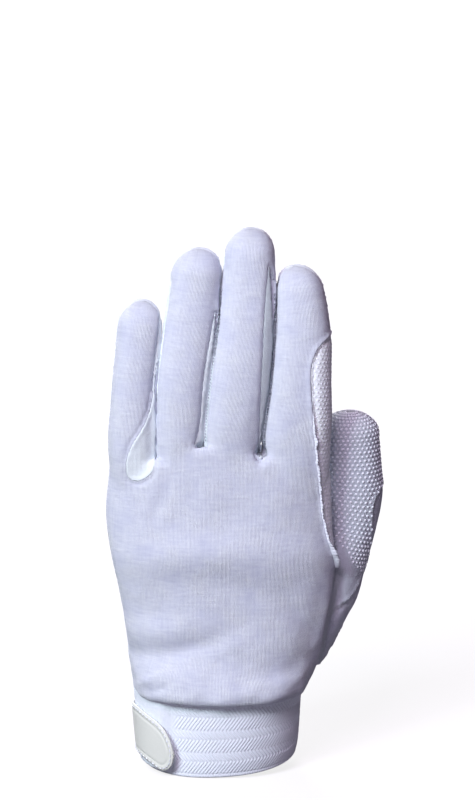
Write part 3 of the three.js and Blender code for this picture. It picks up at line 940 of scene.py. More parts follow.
@dataclass(frozen=True)
class LapProfile:
    """How a piece that laps over another swells beside their seam, and how the other sinks."""

    swell: float = 0.55
    crest: float = 0.7
    width: float = 0.8
    rim: float = 0.25
    rim_width: float = 0.5
    sink: float = 0.35
    sink_at: float = 1.1

    def over(self, distance: float) -> float:
        """How far the upper piece lifts at a distance from the seam."""
        return self.swell * math.exp(-(((distance - self.crest) / self.width) ** 2))

    def under(self, distance: float) -> float:
        """How far the lower piece lifts at a distance from the seam."""
        rim = self.rim * math.exp(-((distance / self.rim_width) ** 2))
        return rim - self.sink * math.exp(-(((distance - self.sink_at) / self.width) ** 2))


@dataclass
class Tailor:
    """Cuts the skin into its pieces, and presses the seams into it."""

    skin: Skin
    pattern: Pattern
    plain: SeamProfile = SeamProfile()
    deep: SeamProfile = SeamProfile(1.2, 0.9, 0.1)
    shallow: SeamProfile = SeamProfile(0.35, 0.9, 0.1)
    lap: LapProfile = LapProfile()
    tongue_lap: LapProfile = LapProfile(swell=0.34)
    reach: float = 5.0
    pucker: float = 0.5
    pucker_rate: float = 0.7
    opening_below: float = 38.0
    seams: dict[frozenset, Points] = field(default_factory=dict)

    def cut(self) -> Net:
        """Cuts the skin along all its seams.

        Returns:
            The mesh, with each face marked by its piece, and open at the wrist.
        """
        bm = bmesh.new()
        bm.from_mesh(self.skin.build())
        mark = bm.faces.layers.int.new(PIECE_LAYER)
        low = [f for f in bm.faces if f.calc_center_median().z < self.opening_below * MM]
        values = cut_along(bm, low, self.pattern.opening)
        removed = [f for f in bm.faces if self.is_inside(f, values)]
        bmesh.ops.delete(bm, geom=removed, context="FACES")
        for panel, inside in self.pattern.takes():
            free = [f for f in bm.faces if f[mark] == 0]
            values = cut_along(bm, free, inside)
            for f in bm.faces:
                if f[mark] == 0 and self.is_inside(f, values):
                    f[mark] = panel.mark
        self.tidy_islands(bm, mark)
        return bm

    @staticmethod
    def is_inside(face: bmesh.types.BMFace, values: dict) -> bool:
        """True for a face whose corners lie below 0 in a field."""
        known = [values[v] for v in face.verts if v in values]
        return len(known) == len(face.verts) and max(known, key=abs) < 0

    @staticmethod
    def tidy_islands(bm: Net, mark: bmesh.types.BMLayerItem) -> None:
        """Gives each stray patch of a piece to the piece round it.

        Args:
            bm: The marked mesh.
            mark: The layer of the marks.
        """
        seen: set[bmesh.types.BMFace] = set()
        patches: dict[int, list[list]] = {}
        for start in bm.faces:
            if start in seen:
                continue
            patch, queue = [], [start]
            seen.add(start)
            while queue:
                face = queue.pop()
                patch.append(face)
                for edge in face.edges:
                    for other in edge.link_faces:
                        if other not in seen and other[mark] == face[mark]:
                            seen.add(other)
                            queue.append(other)
            patches.setdefault(start[mark], []).append(patch)
        for same in patches.values():
            same.sort(key=len, reverse=True)
            for patch in same[1:]:
                beside = [(f, o) for f in patch for e in f.edges for o in e.link_faces]
                around = [o[mark] for f, o in beside if o[mark] != f[mark]]
                for face in patch:
                    face[mark] = max(set(around), key=around.count) if around else face[mark]

    @staticmethod
    def find_seams(bm: Net) -> dict[frozenset, list]:
        """Collects the seam edges.

        Args:
            bm: The marked mesh.

        Returns:
            The edges, by the marks of the two pieces that they join.
        """
        mark = bm.faces.layers.int[PIECE_LAYER]
        found: dict[frozenset, list] = {}
        for e in bm.edges:
            marks = frozenset(f[mark] for f in e.link_faces)
            if len(marks) == 2:
                found.setdefault(marks, []).append(e)
        return found

    def raised_side(self, marks: frozenset, place: Vector) -> int:
        """Finds the piece that laps over the other at a seam.

        Args:
            marks: The marks of the two pieces.
            place: A place on their seam, in metres.

        Returns:
            The upper piece's mark, or 0 for a plain seam.
        """
        if marks == frozenset((Panel.BACK.mark, Panel.LITTLE_RING.mark)):
            on_tongue = self.pattern.tongue_end(np.array([place]) / MM)[0] < self.pattern.tongue_rim
            return Panel.LITTLE_RING.mark if on_tongue else 0
        for over, under in ((Panel.BACK, Panel.SIDE), (Panel.THUMB_FRONT, Panel.THUMB_OUTER)):
            if marks == frozenset((over.mark, under.mark)):
                return over.mark
        return 0

    def profile(self, marks: frozenset, place: Vector) -> SeamProfile:
        """Finds the shape of a plain seam: deep on the right of an open strip, shallow on its left.

        Args:
            marks: The marks of the two pieces.
            place: A place on their seam, in metres.

        Returns:
            The shape.
        """
        for index, panel in enumerate(STRIP_PANELS[1:], 1):
            if marks == frozenset((Panel.BACK.mark, panel.mark)):
                on_right = place.x / MM > self.pattern.strip_right(index, place.z / MM)
                return self.deep if on_right else self.shallow
        return self.plain

    def press(self, bm: Net) -> None:
        """Sinks or lifts the cloth along each seam, with small puckers.

        Args:
            bm: The marked mesh.
        """
        mark = bm.faces.layers.int[PIECE_LAYER]
        places, overs, profiles = [], [], []
        for marks, edges in self.find_seams(bm).items():
            for v in {v for e in edges for v in e.verts}:
                places.append(v.co.copy())
                overs.append(self.raised_side(marks, v.co))
                profiles.append(self.profile(marks, v.co))
        tree = tree_of(places)
        bm.normal_update()
        moves = []
        for v in bm.verts:
            near, i, distance = tree.find(v.co)
            distance /= MM
            if distance > self.reach:
                continue
            pucker = 1 + self.pucker * noise.noise(near / MM * self.pucker_rate)
            lap = self.tongue_lap if overs[i] == Panel.LITTLE_RING.mark else self.lap
            if overs[i] and overs[i] in {f[mark] for f in v.link_faces}:
                shape = lap.over(distance)
            elif overs[i]:
                shape = lap.under(distance)
            else:
                shape = float(profiles[i].lift(np.float64(distance)))
            moves.append((v, v.normal.copy() * shape * pucker * MM))
        for v, move in moves:
            v.co += move

    def pieces(self) -> dict[Panel, Piece]:
        """Cuts, presses and parts the pieces.

        Returns:
            An object for each piece, one layer thick.
        """
        bm = self.cut()
        for marks, edges in self.find_seams(bm).items():
            self.seams[marks] = np.array([[v.co[:] for v in e.verts] for e in edges]) / MM
        self.press(bm)
        mark = bm.faces.layers.int[PIECE_LAYER]
        made = {}
        for panel in Panel:
            part = bm.copy()
            layer = part.faces.layers.int[PIECE_LAYER]
            others = [f for f in part.faces if f[layer] != panel.mark]
            bmesh.ops.delete(part, geom=others, context="FACES")
            for f in part.faces:
                f.smooth = True
            made[panel] = object_of(panel.value + "_cloth", part)
        bm.free()
        return made


@dataclass(frozen=True)
class Stamp:
    """A small shape that is repeated many times: its corners, in millimetres, and its faces."""

    corners: Points
    faces: list

    @classmethod
    def of(cls, bm: Net) -> Stamp:
        """Takes the shape from a mesh, and frees the mesh.

        Args:
            bm: The mesh, in millimetres.

        Returns:
            The stamp.
        """
        bm.verts.index_update()
        corners = np.array([v.co[:] for v in bm.verts])
        faces = [[v.index for v in f.verts] for f in bm.faces]
        bm.free()
        return cls(corners, faces)

    def scatter(self, name: str, places: Points, ups: Points, alongs: Points) -> Piece:
        """Repeats the shape over places as one mesh.

        Args:
            name: The new object's name.
            places: Where each copy stands, in millimetres.
            ups: The way each copy's Z axis points.
            alongs: The way each copy's X axis points, roughly.

        Returns:
            The object.
        """
        ups = ups / np.linalg.norm(ups, axis=1, keepdims=True)
        sides = np.cross(ups, alongs)
        sides /= np.maximum(np.linalg.norm(sides, axis=1, keepdims=True), TINY)
        alongs = np.cross(sides, ups)
        turned = (
            self.corners[None, :, 0, None] * alongs[:, None, :]
            + self.corners[None, :, 1, None] * sides[:, None, :]
            + self.corners[None, :, 2, None] * ups[:, None, :]
        )
        corners = (turned + places[:, None, :]).reshape(-1, 3) * MM
        step = len(self.corners)
        faces = [[i + step * copy for i in face] for copy in range(len(places)) for face in self.faces]
        mesh = bpy.data.meshes.new(name)
        mesh.from_pydata(corners, [], faces)
        mesh.shade_smooth()
        made = bpy.data.objects.new(name, mesh)
        bpy.context.scene.collection.objects.link(made)
        return made


@dataclass
class FlatPattern:
    """A piece of cloth laid flat: how far across and along its wales each corner lies."""

    form: HandForm
    piece: Piece
    panel: Panel
    steps: int = 500
    close_enough: float = 1e-8
    least_weight: float = 0.01
    thumb_step: float = 4.0
    thumb_bend: Span = (60.0, 90.0)
    finger_step: float = 2.0
    finger_bend: Span = (118.0, 142.0)
    tube_shift: float = 1.0
    tube_low: float = 104.0

    def grain(self, corners: Points) -> Points:
        """Finds the way the wales run: up the hand, and along each finger or the thumb.

        Args:
            corners: The piece's corners.

        Returns:
            A unit vector for each corner.
        """
        x, _, z = corners.T
        ways = np.tile((0.0, 0.0, 1.0), (len(corners), 1))
        if self.panel in (Panel.THUMB_FRONT, Panel.THUMB_OUTER):
            rows, step = self.form.thumb, self.thumb_step
            left, right = (rows.at(side, z + step) - rows.at(side, z - step) for side in SIDES[:2])
            ways[:, 0] = (left + right) / (4 * step) * smooth_step(*self.thumb_bend, z)
            return ways / np.linalg.norm(ways, axis=1, keepdims=True)
        fingers, step = range(len(self.form.tips)), self.finger_step
        axes = np.array([self.form.reach(finger, z)[0] for finger in fingers])
        nearest = np.abs(axes - x).argmin(axis=0)
        share = smooth_step(*self.finger_bend, z)
        for finger in fingers:
            here = nearest == finger
            high, low = self.form.reach(finger, z + step), self.form.reach(finger, z - step)
            for axis in (0, 1):
                ways[here, axis] = ((high[axis] - low[axis]) / (2 * step) * share)[here]
        return ways / np.linalg.norm(ways, axis=1, keepdims=True)

    def directions(self, corners: Points, normals: Points) -> tuple[Points, Points]:
        """Finds the ways across and along the wales, shorter where the cloth faces up.

        Args:
            corners: The piece's corners.
            normals: Their normals.

        Returns:
            The way across and the way along, for each corner.
        """
        grain = self.grain(corners)
        across = np.cross(grain, normals)
        along = np.cross(normals, across)
        if self.panel in STRIP_PANELS:
            finger = STRIP_PANELS.index(self.panel)
            left, right = (self.form.reach(finger + i, corners[:, 2])[0] for i in (0, 1))
            share = (corners[:, 0] - left) / (right - left)
            across *= 1 - 2 * smooth_step(*STRIP_TURN, share)[:, None]
        return across, along

    def opened(self, corners: Points, edges: np.ndarray) -> np.ndarray:
        """Finds the edges along which the thumb's tube is opened, on its outer side.

        Args:
            corners: The piece's corners.
            edges: Its edges.

        Returns:
            True for each such edge.
        """
        x, y, z = corners.T
        ring = [self.form.thumb.at(side, z) for side in SIDES]
        outer = x > (ring[0] + ring[1]) / 2 + self.tube_shift
        behind = y > (ring[2] + ring[3]) / 2
        heads, tails = edges[:, 0], edges[:, 1]
        return (behind[heads] != behind[tails]) & outer[heads] & outer[tails] & (z[heads] > self.tube_low)

    def spread(self, corners: Points, edges: np.ndarray, ways: Points, start: Points) -> Points:
        """Finds the distance along some ways that fits every edge best, by conjugate gradients.

        Args:
            corners: The piece's corners, in millimetres.
            edges: Its edges.
            ways: The way at each corner in which the distance grows.
            start: A first guess.

        Returns:
            The distance of each corner.
        """
        heads, tails = edges[:, 0], edges[:, 1]
        strength = np.linalg.norm(ways, axis=1)
        unit = ways / np.maximum(strength, TINY)[:, None]
        weight = strength[heads] * strength[tails] + self.least_weight
        goal = ((corners[tails] - corners[heads]) * (unit[heads] + unit[tails])).sum(axis=1) / 2
        count = len(corners)

        def gather(values: Points) -> Points:
            """The sum of the edges' values at each corner."""
            return np.bincount(tails, values, count) - np.bincount(heads, values, count)

        def apply(values: Points) -> Points:
            """How hard the edges pull at each corner, when the corners have these values."""
            return gather(weight * (values[tails] - values[heads]))

        guess = start.copy()
        rest = gather(weight * goal) - apply(guess)
        way = rest.copy()
        size = rest @ rest
        for _ in range(self.steps):
            if size < self.close_enough:
                break
            bent = apply(way)
            step = size / (way @ bent)
            guess += step * way
            rest -= step * bent
            new_size = rest @ rest
            way = rest + new_size / size * way
            size = new_size
        return guess

    def lay(self) -> Points:
        """Lays the piece flat and keeps its flat places in its UV map, in centimetres.

        Returns:
            The flat place of each corner, in millimetres.
        """
        mesh = self.piece.data
        corners, normals, edges = corners_of(mesh), normals_of(mesh), edges_of(mesh)
        if self.panel is Panel.THUMB_FRONT:
            edges = edges[~self.opened(corners, edges)]
        across, along = self.directions(corners, normals)
        places = np.column_stack(
            [
                self.spread(corners, edges, across, corners[:, 0]),
                self.spread(corners, edges, along, corners[:, 2]),
            ]
        )
        loops = rows_of(mesh.loops, "vertex_index", 1, np.int32)[:, 0]
        layer = mesh.uv_layers.new(name=UV_NAME)
        layer.data.foreach_set("uv", (places[loops] / CM).astype(np.float32).ravel())
        return places


@dataclass
class GripDots:
    """The raised dots printed on the cloth, in staggered rows on its flat pattern."""

    pitch: float = 2.0
    row: float = 1.74
    radius: float = 0.68
    height: float = 0.3
    edge_gap: float = 0.7
    sides: int = 8
    top_share: float = 0.72
    dome: float = 0.32
    proud: float = 0.22
    largest_face: float = 4.0
    way: Triple = (0.3, 0.2, 1.0)

    def stamp(self) -> Stamp:
        """Makes one dot, a low dome.

        Returns:
            Its stamp.
        """
        bm = bmesh.new()
        bmesh.ops.create_cone(
            bm, cap_ends=True, cap_tris=True, segments=self.sides, radius1=self.radius,
            radius2=self.radius * self.top_share, depth=self.height,
        )
        for v in bm.verts:
            if v.co.z > 0 and math.hypot(v.co.x, v.co.y) < self.radius / 2:
                v.co.z += self.height * self.dome
        bmesh.ops.translate(bm, vec=(0, 0, self.height * self.proud), verts=bm.verts)
        bottom = [f for f in bm.faces if f.normal.z < DOWN]
        bmesh.ops.delete(bm, geom=bottom, context="FACES")
        return Stamp.of(bm)

    def lattice(self, piece: Piece, flat: Points) -> tuple[Points, Points]:
        """Finds where the dots fall on a piece.

        Args:
            piece: The piece of cloth.
            flat: The flat place of each of its corners.

        Returns:
            The dots' places, in millimetres, and the cloth's normals there.
        """
        mesh = piece.data
        mesh.calc_loop_triangles()
        triangles = rows_of(mesh.loop_triangles, "vertices", 3, np.int32)
        a, b, c = (flat[triangles[:, i]] for i in range(3))
        low, high = np.minimum(np.minimum(a, b), c), np.maximum(np.maximum(a, b), c)
        row = np.ceil(low[:, 1] / self.row)
        shift = (row % 2) * self.pitch / 2
        across = np.ceil((low[:, 0] - shift) / self.pitch) * self.pitch + shift
        up = row * self.row
        hit = (up <= high[:, 1]) & (across <= high[:, 0]) & ((high - low).max(axis=1) < self.largest_face)
        point = np.column_stack([across, up])

        def turn(p: Points, q: Points, r: Points) -> Points:
            """Twice the area of each triangle, below 0 if it runs clockwise."""
            return (q[:, 0] - p[:, 0]) * (r[:, 1] - p[:, 1]) - (q[:, 1] - p[:, 1]) * (r[:, 0] - p[:, 0])

        whole = turn(a, b, c)
        with np.errstate(divide="ignore", invalid="ignore"):
            shares = np.column_stack([turn(point, b, c), turn(a, point, c), turn(a, b, point)])
            shares /= whole[:, None]
        hit &= np.nan_to_num(shares, nan=-1.0).min(axis=1) >= 0
        shares, triangles = shares[hit], triangles[hit]
        corners, normals = corners_of(mesh), normals_of(mesh)
        places = (corners[triangles] * shares[:, :, None]).sum(axis=1)
        ups = (normals[triangles] * shares[:, :, None]).sum(axis=1)
        return places, ups

    def print_on(
        self, piece: Piece, flat: Points, name: str,
        bare: Callable[[Points, Points], np.ndarray] | None = None,
    ) -> Piece:
        """Prints the dots on a piece, clear of its edges and of any bare part.

        Args:
            piece: The piece of cloth.
            flat: The flat place of each of its corners.
            name: The dots' name.
            bare: Tells by place and normal where the cloth is bare.

        Returns:
            The dots as one object.
        """
        places, ups = self.lattice(piece, flat)
        bm = bmesh.new()
        bm.from_mesh(piece.data)
        rim = [v.co.copy() for v in bm.verts if v.is_boundary]
        bm.free()
        tree = tree_of(rim)
        clear = np.array([tree.find(Vector(p) * MM)[2] > self.edge_gap * MM for p in places])
        if bare is not None:
            clear &= ~bare(places, ups)
        places, ups = places[clear], ups[clear]
        return self.stamp().scatter(name, places, ups, np.tile(self.way, (len(places), 1)))


class Nodes:
    """Wires a procedural material."""

    def __init__(self, name: str) -> None:
        """Makes an empty material with its output.

        Args:
            name: The material's name.
        """
        self.material = bpy.data.materials.new(name)
        self.material.use_nodes = True
        self.tree = self.material.node_tree
        self.tree.nodes.clear()
        self.shader = self.add("ShaderNodeBsdfPrincipled")
        output = self.add("ShaderNodeOutputMaterial")
        self.tree.links.new(self.shader.outputs[0], output.inputs[0])

    def add(self, kind: str, inputs: dict | None = None, **settings: object) -> bpy.types.Node:
        """Adds a node.

        Args:
            kind: The node's type.
            inputs: For each input, by name or number, a value or the output that it is linked to.
            settings: The node's own settings.

        Returns:
            The node.
        """
        node = self.tree.nodes.new(kind)
        for name, value in settings.items():
            setattr(node, name, value)
        for name, value in (inputs or {}).items():
            self.put(node.inputs[name], value)
        return node

    def put(self, socket: Socket, value: object) -> None:
        """Sets an input, or links an output to it.

        Args:
            socket: The input.
            value: The value or the output.
        """
        if isinstance(value, Socket):
            self.tree.links.new(value, socket)
        else:
            socket.default_value = value

    def math(self, operation: str, *values: object) -> Socket:
        """A Math node's result."""
        return self.add("ShaderNodeMath", dict(enumerate(values)), operation=operation).outputs[0]

    def stretch(self, vector: Socket, scale: Sequence[float]) -> Socket:
        """A place scaled along each axis."""
        return self.add("ShaderNodeVectorMath", {0: vector, 1: scale}, operation="MULTIPLY").outputs[0]

    def noise(self, vector: Socket, scale: float, detail: float = 2.0) -> Socket:
        """Noise from 0 to 1."""
        made = self.add("ShaderNodeTexNoise", {"Vector": vector, "Scale": scale, "Detail": detail})
        return made.outputs["Fac"]

    def blend(self, share: object, low: Sequence[float], high: Sequence[float]) -> Socket:
        """A colour between two, by a share that is a value or an output."""
        inputs = {"Factor": share, "A": (*low, 1.0), "B": (*high, 1.0)}
        return self.add("ShaderNodeMix", inputs, data_type="RGBA").outputs["Result"]

    def bump(self, height: Socket, distance: float, strength: float, under: object = None) -> Socket:
        """A normal from a height of some millimetres, over another normal."""
        inputs = {"Height": height, "Distance": distance * MM, "Strength": strength}
        return self.add("ShaderNodeBump", inputs | ({"Normal": under} if under else {})).outputs["Normal"]

    def finish(
        self, colour: object, roughness: object, normal: object, **constants: object
    ) -> bpy.types.Material:
        """Feeds the shader.

        Args:
            colour: The base colour.
            roughness: The roughness.
            normal: The bumped normal.
            constants: Values for the shader's other inputs, by name with _ for a space.

        Returns:
            The material.
        """
        self.put(self.shader.inputs["Base Color"], colour)
        self.put(self.shader.inputs["Roughness"], roughness)
        self.put(self.shader.inputs["Normal"], normal)
        for name, value in constants.items():
            self.shader.inputs[name.replace("_", " ")].default_value = value
        return self.material


@dataclass(frozen=True)
class Knit:
    """Fine cotton jersey: upright wales of small V stitches, on the piece's own flat pattern."""

    name: str
    light: Triple
    deep: Triple
    wale: float = 1.1
    course: float = 0.78
    relief: float = 0.28
    fuzz: float = 0.25
    wobble: float = 0.35
    slope: float = 1.5
    streaks: Triple = (1.6, 9.0, 1.0)
    wales: Triple = (11.5, 0.8, 1.0)
    wander_size: float = 6.0
    patch_size: float = 0.9
    fuzz_size: float = 26.0
    stitch_rise: Span = (0.12, 0.88)
    patch_depth: Span = (1.6, -0.3)
    # how far the stitches' height darkens the gaps between them towards the deep colour: painted shade
    loop_painted_shade: float = 0.75
    streak_share: float = 0.4
    wale_share: float = 0.3
    fuzz_share: float = 0.3
    middle: float = 0.25
    streak_bump: Span = (0.4, 0.3)
    fuzz_strength: float = 0.5
    loop_strength: float = 0.85
    roughness: Span = (0.15, 0.78)

    def material(self) -> bpy.types.Material:
        """Builds the material.

        Returns:
            The new material.
        """
        nodes = Nodes(self.name)
        uv = nodes.add("ShaderNodeUVMap", uv_map=UV_NAME).outputs[0]
        flat = nodes.add("ShaderNodeSeparateXYZ", {0: uv})
        # The wales wander a little, and each is a row of stitches with two slanting legs.
        wobble = nodes.math("MULTIPLY", nodes.noise(uv, self.wander_size), self.wobble)
        wale = nodes.math("ADD", nodes.math("MULTIPLY", flat.outputs[0], CM / self.wale), wobble)
        course = nodes.math("MULTIPLY", flat.outputs[1], CM / self.course)
        across = nodes.math("ABSOLUTE", nodes.math("SUBTRACT", nodes.math("FRACT", wale), 0.5))
        leg = nodes.math("SINE", nodes.math("MULTIPLY", across, TURN))
        patchy = nodes.noise(uv, self.patch_size)
        phase = nodes.math("ADD", course, nodes.math("MULTIPLY", across, self.slope))
        stitch = nodes.math("SINE", nodes.math("MULTIPLY", phase, TURN))
        rise = nodes.math("MULTIPLY_ADD", stitch, *self.stitch_rise)
        depth = nodes.math("MULTIPLY_ADD", patchy, *self.patch_depth)
        loops = nodes.math("MULTIPLY", nodes.math("MULTIPLY", leg, rise), depth)
        # Faint streaks run across the cloth, uneven wales run up it, and fuzz lies over both.
        streak = nodes.noise(nodes.stretch(uv, self.streaks), 1.0, FINE)
        wales = nodes.noise(nodes.stretch(uv, self.wales), 1.0)
        fuzz = nodes.noise(uv, self.fuzz_size, FINE)
        # The stitches' height also sets the colour: the gaps between them turn towards the deep colour, which
        # is painted shade.
        body = nodes.math("MULTIPLY", loops, self.loop_painted_shade)
        body = nodes.math("MULTIPLY_ADD", streak, self.streak_share, body)
        body = nodes.math("MULTIPLY_ADD", wales, self.wale_share, body)
        share = nodes.math("MULTIPLY_ADD", fuzz, self.fuzz_share, nodes.math("SUBTRACT", body, self.middle))
        colour = nodes.blend(share, self.deep, self.light)
        normal = nodes.bump(streak, *self.streak_bump)
        normal = nodes.bump(fuzz, self.fuzz, self.fuzz_strength, normal)
        normal = nodes.bump(loops, self.relief, self.loop_strength, normal)
        roughness = nodes.math("MULTIPLY_ADD", fuzz, *self.roughness)
        return nodes.finish(
            colour, roughness, normal, Sheen_Weight=0.25, Sheen_Roughness=0.6, Specular_IOR_Level=0.25
        )


@dataclass(frozen=True)
class Rubbery:
    """Stuff without a weave: dots, vinyl, thread and pile, with a faint grain."""

    name: str
    light: Triple
    deep: Triple
    grain: float
    relief: float
    roughness: float
    specular: float = 0.5
    broad: float = 60.0
    grain_share: float = 0.4
    strength: float = 0.5
    uneven: float = 0.12

    def material(self) -> bpy.types.Material:
        """Builds the material.

        Returns:
            The new material.
        """
        nodes = Nodes(self.name)
        place = nodes.add("ShaderNodeTexCoord").outputs["Object"]
        broad = nodes.noise(place, self.grain * self.broad, FINE)
        grain = nodes.noise(place, self.grain * METRE)
        rest = nodes.math("MULTIPLY", broad, 1 - self.grain_share)
        share = nodes.math("MULTIPLY_ADD", grain, self.grain_share, rest)
        colour = nodes.blend(share, self.deep, self.light)
        normal = nodes.bump(grain, self.relief, self.strength)
        roughness = nodes.math("MULTIPLY_ADD", grain, self.uneven, self.roughness - self.uneven / 2)
        return nodes.finish(colour, roughness, normal, Specular_IOR_Level=self.specular)


@dataclass(frozen=True)
class Elastic:
    """Woven elastic: fine threads across the ribs, on the band's own map of length and height."""

    name: str
    light: Triple
    deep: Triple
    thread: float = 0.55
    upright: float = 0.8
    weave_rise: Span = (0.3, 0.5)
    fuzz_size: float = 30.0
    fuzz_share: float = 0.5
    weave_bump: Span = (0.12, 0.5)
    fuzz_bump: Span = (0.15, 0.4)
    roughness: Span = (0.2, 0.55)

    def material(self) -> bpy.types.Material:
        """Builds the material.

        Returns:
            The new material.
        """
        nodes = Nodes(self.name)
        uv = nodes.add("ShaderNodeUVMap", uv_map=UV_NAME).outputs[0]
        flat = nodes.add("ShaderNodeSeparateXYZ", {0: uv})
        turns = TURN * CM / self.thread
        lines = nodes.math("SINE", nodes.math("MULTIPLY", flat.outputs[1], turns))
        upright = nodes.math("SINE", nodes.math("MULTIPLY", flat.outputs[0], turns * self.upright))
        weave = nodes.math("MULTIPLY_ADD", nodes.math("MULTIPLY", lines, upright), *self.weave_rise)
        fuzz = nodes.noise(uv, self.fuzz_size, FINE)
        # The weave's height also sets the colour: darker between the threads, which is painted shade.
        rest = nodes.math("MULTIPLY", weave, 1 - self.fuzz_share)
        share = nodes.math("MULTIPLY_ADD", fuzz, self.fuzz_share, rest)
        colour = nodes.blend(share, self.deep, self.light)
        normal = nodes.bump(weave, *self.weave_bump, nodes.bump(fuzz, *self.fuzz_bump))
        roughness = nodes.math("MULTIPLY_ADD", fuzz, *self.roughness)
        return nodes.finish(colour, roughness, normal, Specular_IOR_Level=0.35)


@dataclass(frozen=True)
class Finishes:
    """The finish of each material slot."""

    plain_knit: Knit = Knit("plain knit", (0.83, 0.86, 0.91), (0.37, 0.39, 0.54))
    dotted_knit: Knit = Knit("dotted knit", (0.90, 0.94, 1.0), (0.66, 0.70, 0.82))
    # The thumb wears a greyer knit than the other dotted cloth, so that its bright dots show; the grey is
    # partly painted shade.
    thumb_knit: Knit = Knit("thumb knit", (0.66, 0.70, 0.76), (0.42, 0.46, 0.56))
    # The side strip wears a lighter knit than the other dotted cloth: painted light where the hand and thumb
    # shade it.
    side_knit: Knit = Knit("side knit", (0.98, 1.0, 1.0), (0.82, 0.87, 0.95), relief=0.14)
    strip_knit: Knit = Knit("strip knit", (0.88, 0.94, 0.96), (0.64, 0.70, 0.77), relief=0.2)
    # The strip between the middle and index fingers wears a darker knit: painted shade, where the middle
    # finger shades it.
    deep_knit: Knit = Knit("strip knit painted shade", (0.62, 0.68, 0.72), (0.40, 0.44, 0.50), relief=0.2)
    grip_dots: Rubbery = Rubbery("grip dots", (0.90, 0.93, 1.0), (0.82, 0.85, 0.95), 1.0, 0.05, 0.5, 0.3)
    thread: Rubbery = Rubbery("thread", (0.82, 0.84, 0.92), (0.66, 0.68, 0.78), 3.0, 0.10, 0.75, 0.2)
    # The strips' overlock is grey thread, darkened further into a painted shadow line along the groove
    # between the fingers.
    grey_thread_painted_shadow: Rubbery = Rubbery(
        "grey thread painted shadow", (0.40, 0.43, 0.49), (0.26, 0.29, 0.34), 3.0, 0.10, 0.8, 0.15
    )
    tab_vinyl: Rubbery = Rubbery("tab vinyl", (0.78, 0.79, 0.74), (0.71, 0.72, 0.675), 0.9, 0.10, 0.42)
    band_elastic: Elastic = Elastic("band elastic", (0.90, 0.94, 1.0), (0.72, 0.76, 0.88))
    loop_patch: Rubbery = Rubbery("loop patch", (0.86, 0.90, 0.98), (0.76, 0.80, 0.90), 2.2, 0.35, 0.85, 0.15)

    def dress(self, piece: Piece, slot: str, shade: str = "") -> None:
        """Gives a piece its slot's material, made once.

        Args:
            piece: The piece.
            slot: The slot's name.
            shade: The name of a finish with painted light or shade to wear in the slot's place.
        """
        finish = getattr(self, shade or slot)
        known = bpy.data.materials.get(finish.name)
        piece.data.materials.clear()
        piece.data.materials.append(known or finish.material())


@dataclass
class BandShape:
    """The ring that the wrist band, the loop patch and the closing tab lie on."""

    squareness: float = 2.15
    forward: float = 0.2
    sideways: float = 0.05
    pivot: float = 20.0
    top: float = 29.2
    arc_z: float = 14.0
    arc_steps: int = 400
    rows: Table = Table(
        "z left right back palm",
        [
            (0, -31.4, 33.4, -23.6, 22.8), (6, -32.0, 34.4, -24.4, 23.4),
            (29.2, -34.2, 35.8, -25.8, 24.8),
        ],
    )

    def point(self, turn_from_back: float, z: float, outset: float) -> Vector:
        """Finds a point on or off the ring.

        Args:
            turn_from_back: The turn in degrees from the middle of the back, towards the little finger.
            z: Its height on the ring.
            outset: How far out of the ring it lies.

        Returns:
            The point, in millimetres.
        """
        turn = -math.pi / 2 - math.radians(turn_from_back)
        left, right, back, palm = (float(self.rows.at(side, z)) for side in SIDES)
        flat = Ring(left, right, back, palm, z).place(turn, 1.0, self.squareness, -outset)
        hang = min(1.0, max(0.0, 1 - z / self.top))
        flat.z += hang * (self.forward * flat.y + self.sideways * (flat.x - self.pivot))
        return flat

    def arc(self, start: float, end: float) -> Table:
        """Measures the length along the ring.

        Args:
            start: The first turn, in degrees.
            end: The last turn.

        Returns:
            The length, by turn.
        """
        turns = np.linspace(start, end, self.arc_steps)
        points = np.array([self.point(t, self.arc_z, 0.0)[:] for t in turns])
        lengths = np.concatenate([[0], np.cumsum(np.linalg.norm(np.diff(points, axis=0), axis=1))])
        return Table("turn length", np.column_stack([turns, lengths]))

    def plate(
        self, start: float, end: float, columns: int, rows: int, outset: float,
        edges: Callable[[float], Span], relief: Callable[[float, float], float],
        spacing: Callable[[float], float] = float,
    ) -> Net:
        """Makes a curved plate on the ring, one layer thick, that faces outwards.

        Args:
            start: Its first turn, in degrees.
            end: Its last turn.
            columns: How many faces it has along the ring.
            rows: How many faces it has up the ring.
            outset: How far out of the ring it lies.
            edges: The lower and upper edge's heights at a turn.
            relief: More outset, by length along the plate and height.
            spacing: The share of its length at a share of its columns.

        Returns:
            A new mesh in metres, with its length and height in its UV map, in centimetres.
        """
        bm = bmesh.new()
        bmesh.ops.create_grid(bm, x_segments=columns, y_segments=rows, size=0.5)
        laid = bm.loops.layers.uv.new(UV_NAME)
        arc = self.arc(min(start, end), max(start, end))
        places = {}
        for v in bm.verts:
            turn = start + (end - start) * spacing(v.co.x + 0.5)
            low, high = edges(turn)
            z = low + (high - low) * (v.co.y + 0.5)
            length = float(arc.at("length", turn))
            places[v] = (length, z)
            v.co = self.point(turn, z, outset + relief(length, z))
        for face in bm.faces:
            for loop in face.loops:
                loop[laid].uv = [value / CM for value in places[loop.vert]]
        bmesh.ops.scale(bm, vec=(MM, MM, MM), verts=bm.verts)
        middle = next(iter(bm.faces))
        middle.normal_update()
        if middle.normal.dot(middle.calc_center_median()) < 0:
            bmesh.ops.reverse_faces(bm, faces=bm.faces)
        return bm


def thicken(piece: Piece, thickness: float, offset: float = -1.0) -> None:
    """Gives a piece its thickness.

    Args:
        piece: The piece, one layer thick.
        thickness: In millimetres.
        offset: Where its layer lies in the thickness: -1 at the outer face, 0 in the middle.
    """
    wall = piece.modifiers.new("thickness", "SOLIDIFY")
    wall.thickness = thickness * MM
    wall.offset = offset
    piece.data.shade_smooth()


